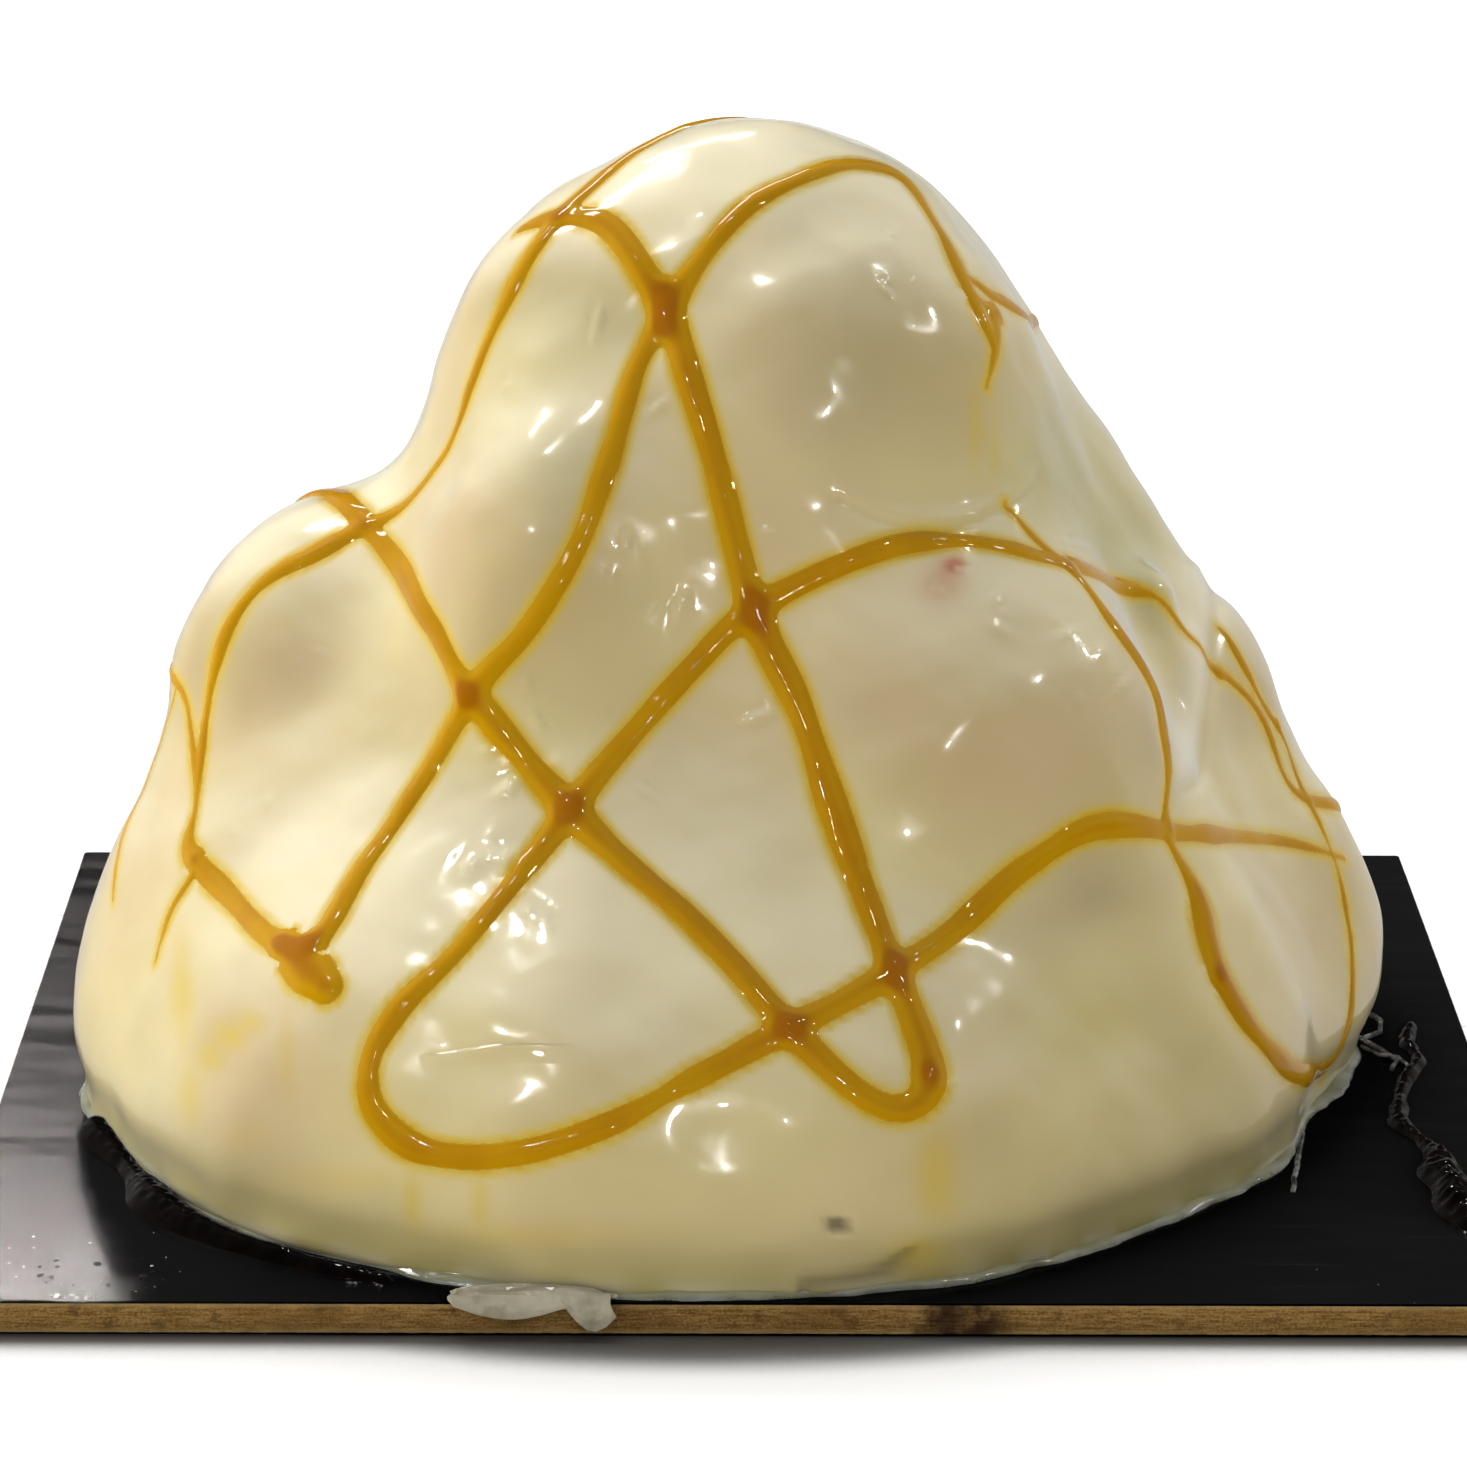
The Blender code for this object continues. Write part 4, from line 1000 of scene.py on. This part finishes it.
cells = FIRST_CELLS
face, i, j = (grid.ravel() for grid in np.meshgrid(range(5), range(cells), range(cells), indexing="ij"))
for halving in range(4):
    centres = onto_coat(np.array(INNER) + cube_ways(face, i + 0.5, j + 0.5, cells))
    margin = 0.35 + 130.0 / cells
    keep = (off_caramel(centres) < margin) & (centres[:, 2] > FOOT)
    face, i, j = face[keep], i[keep], j[keep]
    if halving < 3:
        face = np.repeat(face, 4)
        i = np.repeat(i * 2, 4) + np.tile([0, 1, 1, 0], len(i))
        j = np.repeat(j * 2, 4) + np.tile([0, 0, 1, 1], len(j))
        cells *= 2
corners = np.stack([face, i, j, face, i + 1, j, face, i + 1, j + 1, face, i, j + 1], axis=1).reshape(-1, 3)
kept, index = np.unique(corners, axis=0, return_inverse=True)
bed = onto_coat(np.array(INNER) + cube_ways(kept[:, 0], kept[:, 1], kept[:, 2], cells))
height, lens = run_height(bed, caramel_points, caramel_widths, caramel_shares, STRAND_RISE)
outward = way_out(bed)
drawn = bed + outward * (relief(bed) + np.maximum(height, -EDGE_SINK * 2.5))[:, None]
quads = index.reshape(-1, 4)
quads = quads[height[quads].max(axis=1) > -EDGE_SINK]
used, quads = np.unique(quads, return_inverse=True)
quads = quads.reshape(-1, 4)

AMBER = (0.510, 0.262, 0.002)
AMBER_THIN = (0.600, 0.350, 0.008)
AMBER_THICK = (0.330, 0.100, 0.001)

amber, tree, shader = new_surface(
    "amber_caramel", Subsurface_Weight=0.1, Subsurface_Radius=(1.0, 0.5, 0.1), Subsurface_Scale=0.001,
    IOR=1.45, Specular_IOR_Level=0.2, Roughness=0.06)
depth = marked(tree, "depth")
colour = tinted(tree, ranged(tree, depth, 0.0, 0.35, 1.0, 0.0), AMBER, AMBER_THIN)
colour = tinted(tree, ranged(tree, depth, 1.0, 1.9, 0.0, 0.85), colour, AMBER_THICK)
colour = tinted(tree, sums(tree, "MULTIPLY", patch(tree, 13.0, 21.0, 0.4, 0.65), 0.25), colour, AMBER_THICK)
tree.links.new(colour, shader.inputs["Base Color"])
tree.links.new(ranged(tree, depth, 0.0, 0.35), shader.inputs["Alpha"])
bumped(tree, shader, patch(tree, 3.0, 22.0, 0.1, 0.9, detail=1.0), 0.04)
caramel = piece("caramel_strands", drawn[used], quads.tolist(), amber)
put_values(caramel, "depth", np.clip(lens, 0.0, 2.5)[used] * np.clip(fullness(
    bed, caramel_points, caramel_widths, caramel_shares)[1] / 1.4, 0.3, 1.4)[used])
builder = bmesh.new()
builder.from_mesh(caramel.data)
bmesh.ops.remove_doubles(builder, verts=builder.verts, dist=1e-6)
bmesh.ops.recalc_face_normals(builder, faces=builder.faces)
builder.to_mesh(caramel.data)
builder.free()
caramel.data.shade_smooth()
# Light goes through the clear caramel to the coat under it.
caramel.visible_shadow = False
caramel.visible_diffuse = False
caramel.visible_glossy = False
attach(caramel, "root")
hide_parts("coated_cake")

# The coat is stained beside the strands and in streaks below them.
stain = np.exp(-np.clip(off_caramel(bare_coat) - 0.1, 0.0, 20.0) / 0.65)
x, z, front = on_front_sheet(bare_coat)
for stain_x, stain_z, wide, tall, share in (
        (-68.0, 8.8, 2.8, 2.2, 0.45), (-70.8, 6.8, 3.0, 2.6, 0.52), (-73.6, 4.0, 2.6, 3.0, 0.45),
        (-76.5, -2.0, 2.2, 6.0, 0.38), (-70.0, -8.0, 6.0, 3.0, 0.22), (-46.0, -17.0, 1.8, 6.0, 0.45),
        (-36.5, -17.0, 1.8, 6.0, 0.42), (26.5, -13.0, 3.6, 8.0, 0.50), (24.0, -24.0, 5.0, 3.0, 0.42),
        (30.5, 93.0, 1.3, 7.0, 0.4), (33.0, 90.0, 0.9, 8.0, 0.3), (-77.0, 13.0, 1.8, 9.0, 0.50),
        (-63.0, 5.0, 1.5, 8.0, 0.30), (48.0, 9.0, 7.0, 6.0, 0.25), (-30.0, -22.0, 22.0, 2.5, 0.28),
        (-55.0, -14.0, 14.0, 3.0, 0.25)):
    stain = np.maximum(stain, share * front * spot_share(x, z, stain_x, stain_z, wide, tall))
put_values(coat, "caramel_stain", stain)


# ---- Chocolate sauce -----------------------------------------------------------------------------
# Thick, nearly black chocolate sauce that has run out from under the cake at its foot. It stands in
# rounded beads where it is deep and has dried to thin trails between them.

SAUCE_STEP = 0.42
SAUCE_RISE = 0.78
SAUCE_LEFT = [
    (-86.0, -32.5, 2.6), (-85.6, -36.5, 3.2), (-82.5, -44.0, 2.2), (-79.8, -51.0, 1.5), (-77.6, -57.5, 2.4),
    (-75.4, -64.5, 3.6), (-71.5, -71.5, 2.7), (-66.0, -77.8, 2.2), (-60.0, -83.0, 2.1), (-52.0, -88.8, 1.6),
    (-44.0, -92.8, 1.0),
]
SAUCE_RIGHT = [
    (93.0, 14.0, 0.9), (91.6, 6.0, 1.2), (92.4, -2.0, 0.9), (90.2, -9.0, 1.3), (88.4, -17.0, 0.9),
    (87.4, -24.0, 1.3), (87.0, -30.0, 1.5), (88.8, -36.0, 1.0), (90.2, -41.5, 1.5), (90.6, -46.0, 2.4),
    (90.0, -51.5, 3.4), (91.4, -56.5, 2.9), (91.0, -62.0, 3.7), (91.8, -68.0, 3.0), (92.2, -72.0, 1.8),
]
SAUCE_BLACK = (0.0016, 0.0010, 0.0008)

chocolate, tree, shader = new_surface(
    "chocolate_sauce", IOR=1.45, Specular_IOR_Level=0.03)
colour = tinted(tree, patch(tree, 4.0, 31.0), SAUCE_BLACK, (0.0040, 0.0018, 0.0012))
tree.links.new(colour, shader.inputs["Base Color"])
tree.links.new(sums(tree, "MULTIPLY_ADD", patch(tree, 2.5, 32.0), 0.06, 0.06), shader.inputs["Roughness"])
bumped(tree, shader, patch(tree, 2.4, 33.0, 0.2, 0.8, detail=0.0), 0.012)


def sauce(name, run, lumps, seed):
    """A bead of sauce lying on the board along its run, with more or less of a lumpy top."""
    line = smooth_run(np.array(run), 10)
    shares_along = np.linalg.norm(np.diff(line[:, :2], axis=0, append=line[-1:, :2]), axis=1)
    spots = np.column_stack([line[:, :2], np.full(len(line), BOARD_TOP)])
    widths = line[:, 2] * (1.0 + 0.12 * waves(spots, 5.0, seed))
    shares = shares_along / (math.sqrt(math.pi) * SOFTNESS * widths)
    low = spots.min(axis=0) - 6.0
    high = np.minimum(spots.max(axis=0) + 6.0, BOARD_HALF - 0.4)
    xs = np.arange(low[0], high[0], SAUCE_STEP)
    ys = np.arange(low[1], high[1], SAUCE_STEP)
    grid = np.stack(np.meshgrid(xs, ys, indexing="ij"), axis=-1).reshape(-1, 2)
    flat = np.column_stack([grid, np.full(len(grid), BOARD_TOP)])
    height, _ = run_height(flat, spots, widths, shares, SAUCE_RISE)
    height = np.where(height > 0.0, height * (1.0 + lumps * waves(flat, 3.2, seed + 1)), height)
    height = np.maximum(height, -0.25)
    points = flat + np.column_stack([np.zeros((len(flat), 2)), height])
    across = len(ys)
    corner = (np.arange(len(xs) - 1)[:, None] * across + np.arange(across - 1)[None, :]).ravel()
    quads = np.column_stack([corner, corner + across, corner + across + 1, corner + 1])
    clear = coat_field(flat) > -1.2
    quads = quads[(height[quads].max(axis=1) > -0.1) & clear[quads].all(axis=1)]
    used, quads = np.unique(quads, return_inverse=True)
    made = piece(name, points[used], quads.reshape(-1, 4).tolist(), chocolate)
    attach(made, "root")
    return made


sauce_left = sauce("sauce_bead_left", SAUCE_LEFT, 0.03, 51)
sauce_right = sauce("sauce_bead_right", SAUCE_RIGHT, 0.11, 55)
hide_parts("sauce_left")
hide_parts("sauce_right")


# ---- Wisps of coat -------------------------------------------------------------------------------
# Thin threads of the poured coat that were dragged off the foot at the right while it was setting.

# Each thread: its half width, then the points that it passes.
WISPS = [
    (0.36, [(80.5, 15.0, 4.9), (83.5, 17.5, 5.3), (86.8, 18.0, 5.2), (88.8, 14.5, 4.9), (88.2, 9.5, 4.8),
            (85.5, 6.5, 4.8)]),
    (0.34, [(79.5, 6.0, 5.0), (82.5, 8.0, 5.4), (85.0, 5.5, 5.2), (87.5, 1.0, 4.9), (89.2, -3.5, 4.8),
            (88.2, -7.0, 4.7)]),
    (0.26, [(85.0, 3.0, 4.8), (87.0, -1.5, 5.0), (89.5, -2.0, 4.8), (90.5, -5.5, 4.7)]),
    (0.42, [(73.5, -27.0, 4.3), (73.6, -34.0, 4.25), (72.6, -41.0, 4.35), (71.8, -46.5, 4.3),
            (71.0, -52.0, 4.3), (70.3, -58.0, 4.15)]),
]

threads, given, shown = geometry_group("coat_threads", {"Half width": 0.0005, "Waviness": 0.0004})
line = add(threads, "GeometryNodeMeshToCurve", {"Mesh": given["Geometry"]})
line = add(threads, "GeometryNodeResampleCurve", {"Curve": line.outputs[0], "Count": 60})
shake = add(threads, "ShaderNodeTexNoise", {"Scale": 400.0, "Detail": 1.0}).outputs["Color"]
shake = add(threads, "ShaderNodeVectorMath", {0: shake, 1: (0.5, 0.5, 0.5)}, operation="SUBTRACT").outputs[0]
shake = add(threads, "ShaderNodeVectorMath", {0: shake, 1: (1.0, 1.0, 0.2)}, operation="MULTIPLY").outputs[0]
shake = add(
    threads, "ShaderNodeVectorMath", {0: shake, "Scale": given["Waviness"]}, operation="SCALE").outputs[0]
line = add(threads, "GeometryNodeSetPosition", {"Geometry": line.outputs[0], "Offset": shake})
along = add(threads, "GeometryNodeSplineParameter").outputs["Factor"]
from_end = sums(threads, "MINIMUM", along, sums(threads, "SUBTRACT", 1.0, along))
taper = sums(threads, "POWER", sums(threads, "MINIMUM", sums(threads, "MULTIPLY", from_end, 3.0), 1.0), 0.6)
line = add(threads, "GeometryNodeSetCurveRadius", {"Curve": line.outputs[0], "Radius": taper})
ring = add(threads, "GeometryNodeCurvePrimitiveCircle", {"Resolution": 10, "Radius": given["Half width"]})
tube = add(
    threads, "GeometryNodeCurveToMesh",
    {"Curve": line.outputs[0], "Profile Curve": ring.outputs[0], "Fill Caps": True})
real = add(threads, "GeometryNodeRealizeInstances", {0: tube.outputs[0]})
done = add(threads, "GeometryNodeSetMaterial", {"Geometry": real.outputs[0]})
threads.links.new(done.outputs[0], shown)

wisp_film, tree, shader = new_surface("wisp_film", IOR=1.45, Roughness=0.15)
colour = tinted(tree, patch(tree, 3.0, 35.0, 0.35, 0.65), (0.10, 0.10, 0.095), (0.42, 0.42, 0.39))
tree.links.new(colour, shader.inputs["Base Color"])
tree.links.new(ranged(tree, patch(tree, 2.2, 36.0, 0.3, 0.7), 0.0, 1.0, 0.15, 0.7), shader.inputs["Alpha"])
done.inputs["Material"].default_value = wisp_film
for number, (half_width, knots) in enumerate(WISPS):
    edges = [(k, k + 1) for k in range(len(knots) - 1)]
    grown(f"wisp_{number + 1}", knots, edges, [], threads, {"Half width": half_width * MM})


# ---- Torn scrap of coat --------------------------------------------------------------------------
# A thin flake of set coat that broke off the foot and hangs over the board's front edge.

flake, tree, shader = new_surface(
    "set_coat_flake", Subsurface_Weight=0.3, Subsurface_Radius=(1.0, 0.8, 0.5), Subsurface_Scale=0.001,
    Roughness=0.3, Coat_Weight=0.3)
colour = tinted(tree, patch(tree, 3.5, 41.0, 0.35, 0.65), (0.33, 0.30, 0.20), (0.50, 0.455, 0.335))
tree.links.new(colour, shader.inputs["Base Color"])
bumped(tree, shader, patch(tree, 1.5, 42.0, 0.2, 0.8), 0.12)
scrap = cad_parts["coat_scrap"]
scrap.data.materials.clear()
scrap.data.materials.append(flake)


# ---- Table, camera and light ---------------------------------------------------------------------
# A plain white table under soft studio light: broad lamps above and behind, a weak fill in front.

CONTACT_REACH = 0.018          # metres from the board that its painted contact shadow reaches
CAMERA_PLACE = (-5.2, -856.1, 277.9)
CAMERA_DOWN = 14.91            # degrees below level
CAMERA_RIGHT = 0.23            # degrees to the right of straight on
CAMERA_ROLL = 0.21
CAMERA_LENS = 160.34           # millimetres on a 36 mm sensor

table_white, tree, shader = new_surface("white_table", Roughness=0.6)
# Painted shadow: the table's colour darkens in front of the board, where ambient occlusion finds the board
# close.
near_board = add(tree, "ShaderNodeAmbientOcclusion", {"Distance": CONTACT_REACH}, samples=16).outputs["AO"]
place = add(tree, "ShaderNodeTexCoord").outputs["Object"]
table_place = add(tree, "ShaderNodeSeparateXYZ", {0: place}).outputs
behind_front = ranged(tree, table_place["Y"], -0.1, -0.097)
open_table = sums(tree, "MAXIMUM", ranged(tree, near_board, 0.74, 0.985), behind_front)
tree.links.new(tinted(tree, open_table, (0.10, 0.097, 0.090), (0.9, 0.9, 0.9)), shader.inputs["Base Color"])
off_board = sums(
    tree, "MAXIMUM", sums(tree, "ABSOLUTE", table_place["X"]), sums(tree, "ABSOLUTE", table_place["Y"]))
far_off = sums(tree, "GREATER_THAN", off_board, 0.1025 + CONTACT_REACH)
plain_white = add(tree, "ShaderNodeBsdfDiffuse", {"Color": (0.9, 0.9, 0.9, 1.0)})
surface = add(tree, "ShaderNodeMixShader", {0: far_off, 1: shader.outputs[0], 2: plain_white.outputs[0]})
tree.links.new(surface.outputs[0], tree.nodes["Material Output"].inputs["Surface"])
table = piece(
    "table", [(-9000, -9000, 0), (9000, -9000, 0), (9000, 9000, 0), (-9000, 9000, 0)], [(0, 1, 2, 3)],
    table_white)
table.location.z = -0.00005
table.visible_glossy = False

down, right_turn, roll = (math.radians(angle) for angle in (CAMERA_DOWN, CAMERA_RIGHT, CAMERA_ROLL))
ahead = Vector((
    math.sin(right_turn) * math.cos(down), math.cos(right_turn) * math.cos(down), -math.sin(down)))
aside = Vector((math.cos(right_turn), -math.sin(right_turn), 0.0))
above = aside.cross(ahead)
level_aside = aside * math.cos(roll) + above * math.sin(roll)
level_above = above * math.cos(roll) - aside * math.sin(roll)
camera_data = bpy.data.cameras.new("camera")
camera_data.lens = CAMERA_LENS
camera_data.sensor_width = 36.0
camera_data.clip_end = 50.0
camera = bpy.data.objects.new("camera", camera_data)
bpy.context.scene.collection.objects.link(camera)
turned = Matrix((level_aside, level_above, -ahead)).transposed()
camera.matrix_world = Matrix.Translation(Vector(CAMERA_PLACE) * MM) @ turned.to_4x4()
bpy.context.scene.camera = camera


def lamp(name, place, aim, size, power, gloss=False, only=None):
    """A square area lamp at a place in metres, turned to its aim. It gives soft light alone, or with
    gloss the highlights alone, on every piece or on only some of them."""
    data = bpy.data.lights.new(name, "AREA")
    data.shape = "RECTANGLE"
    data.size, data.size_y = size
    data.energy = power
    made = bpy.data.objects.new(name, data)
    made.location = place
    made.rotation_euler = (Vector(aim) - Vector(place)).to_track_quat("-Z", "Y").to_euler()
    made.visible_camera = False
    made.visible_diffuse = not gloss
    made.visible_glossy = gloss
    chosen = bpy.data.collections.new(name + "_on")
    for lit in only or [table]:
        chosen.objects.link(lit)
    if only is None:
        chosen.collection_objects[0].light_linking.link_state = "EXCLUDE"
    made.light_linking.receiver_collection = chosen
    bpy.context.scene.collection.objects.link(made)
    return made


lamp("behind_high", (0.0, 0.84, 1.06), (0, 0, 0.06), (0.5, 0.5), 9.5)
lamp("rim_left", (-1.02, 0.62, 0.60), (0, 0, 0.06), (0.5, 0.5), 7.4)
lamp("rim_right", (1.05, 0.66, 0.50), (0, 0, 0.06), (0.4, 0.5), 2.2)
lamp("side_left", (-1.22, -0.1, 0.50), (0, 0, 0.06), (0.5, 0.5), 3.4)
lamp("side_right", (1.22, 0.0, 0.50), (0, 0, 0.06), (0.5, 0.5), 2.0)
lamp("low_fill_left", (-1.04, -1.04, 0.36), (0, 0, 0.06), (1.4, 1.0), 5.8)
lamp("table_wash", (0.0, 0.9, 1.7), (0, 0, 0), (2.2, 2.2), 60.0, only=[table])

wet = [coat, lip, caramel, scrap]
lamp("crown_left", (-0.53, 0.57, 1.00), (0, 0, 0.12), (0.42, 0.08), 3.2, gloss=True, only=wet)
lamp("crown_back", (-0.22, 0.90, 0.84), (0, 0, 0.12), (0.40, 0.06), 1.3, gloss=True, only=wet)
lamp("glint_front", (0.12, -1.10, 0.75), (0, 0, 0.06), (0.04, 0.04), 0.8, gloss=True, only=wet)
lamp("glint_left", (-0.75, -0.62, 0.85), (0, 0, 0.06), (0.04, 0.04), 0.8, gloss=True, only=wet)
lamp("glint_right", (0.85, -0.25, 0.85), (0, 0, 0.06), (0.045, 0.045), 0.8, gloss=True, only=wet)
lamp("glint_far_right", (0.95, 0.45, 0.60), (0, 0, 0.06), (0.03, 0.05), 0.5, gloss=True, only=wet)
lamp("glint_high_left", (-0.52, -0.04, 1.14), (0, 0, 0.06), (0.04, 0.04), 0.8, gloss=True, only=wet)
lamp("glint_high_right", (0.55, -0.06, 1.15), (0, 0, 0.06), (0.035, 0.035), 0.6, gloss=True, only=wet)
for name, place in (("strand_top", (0.15, -0.42, 1.05)), ("strand_right", (0.75, -0.60, 0.85)),
                    ("strand_left", (-0.60, -0.80, 0.80)), ("strand_front", (0.05, -1.20, 0.45))):
    gold = lamp(name, place, (0, 0, 0.06), (0.05, 0.05), 1.3, gloss=True, only=[caramel])
    gold.data.color = (1.0, 0.82, 0.50)
sauces = [sauce_left, sauce_right]
lamp("sauce_glint", (-0.20, 0.60, 1.00), (0, 0, 0), (0.06, 0.06), 8.0, gloss=True, only=sauces)
lamp("sauce_spark", (0.30, -0.80, 0.90), (0, 0, 0), (0.05, 0.05), 8.0, gloss=True, only=sauces)
glare = lamp("board_glare", (-0.262, 1.306, 0.548), (-0.09, -0.08, 0), (0.12, 0.09), 0.35, gloss=True,
             only=[board_top_film])
glare.data.color = (1.0, 0.90, 0.89)
glare.data.cycles.use_multiple_importance_sampling = False

WORLD_LIGHT = (0.47, 0.47, 0.46)
WORLD_DARK = (0.04, 0.04, 0.04)

# The studio is bright above and in front, and dark low down, where the glossy pieces mirror it.
world = bpy.data.worlds.new("studio")
world.use_nodes = True
bpy.context.scene.world = world
tree = world.node_tree
sky = tree.nodes["Background"]
axes = add(tree, "ShaderNodeSeparateXYZ", {0: add(tree, "ShaderNodeTexCoord").outputs["Generated"]}).outputs
behind = ranged(tree, axes["Y"], 0.3, 0.7)
middle = ranged(tree, sums(tree, "ABSOLUTE", axes["X"]), 0.25, 0.45, 1.0, 0.0)
low = sums(
    tree, "MULTIPLY", ranged(tree, axes["Z"], 0.50, 0.75, 1.0, 0.0), ranged(tree, axes["Z"], 0.02, 0.15))
board_view = sums(tree, "MULTIPLY", sums(tree, "MULTIPLY", behind, middle), low)
front_low = sums(
    tree, "MULTIPLY", ranged(tree, axes["Z"], 0.0, 0.3, 1.0, 0.0),
    ranged(tree, axes["Y"], 0.0, 0.3, 1.0, 0.0))
dark = sums(tree, "MAXIMUM", board_view, front_low)
in_front = ranged(tree, axes["Y"], -0.1, 0.2, 0.5, 0.0)
mirrored = sums(tree, "MULTIPLY", add(tree, "ShaderNodeLightPath").outputs["Is Glossy Ray"], in_front)
tree.links.new(tinted(tree, mirrored, tinted(tree, dark, WORLD_LIGHT, WORLD_DARK), (0.02, 0.02, 0.02)),
               sky.inputs["Color"])
sky.inputs["Strength"].default_value = 1.0
white = add(tree, "ShaderNodeBackground", {"Color": (1.0, 1.0, 1.0, 1.0), "Strength": 1.0})
seen = add(tree, "ShaderNodeLightPath").outputs["Is Camera Ray"]
both = add(tree, "ShaderNodeMixShader", {0: seen, 1: sky.outputs[0], 2: white.outputs[0]})
tree.links.new(both.outputs[0], tree.nodes["World Output"].inputs["Surface"])

view = bpy.context.scene.view_settings
view.view_transform = "Standard"
view.look = "None"
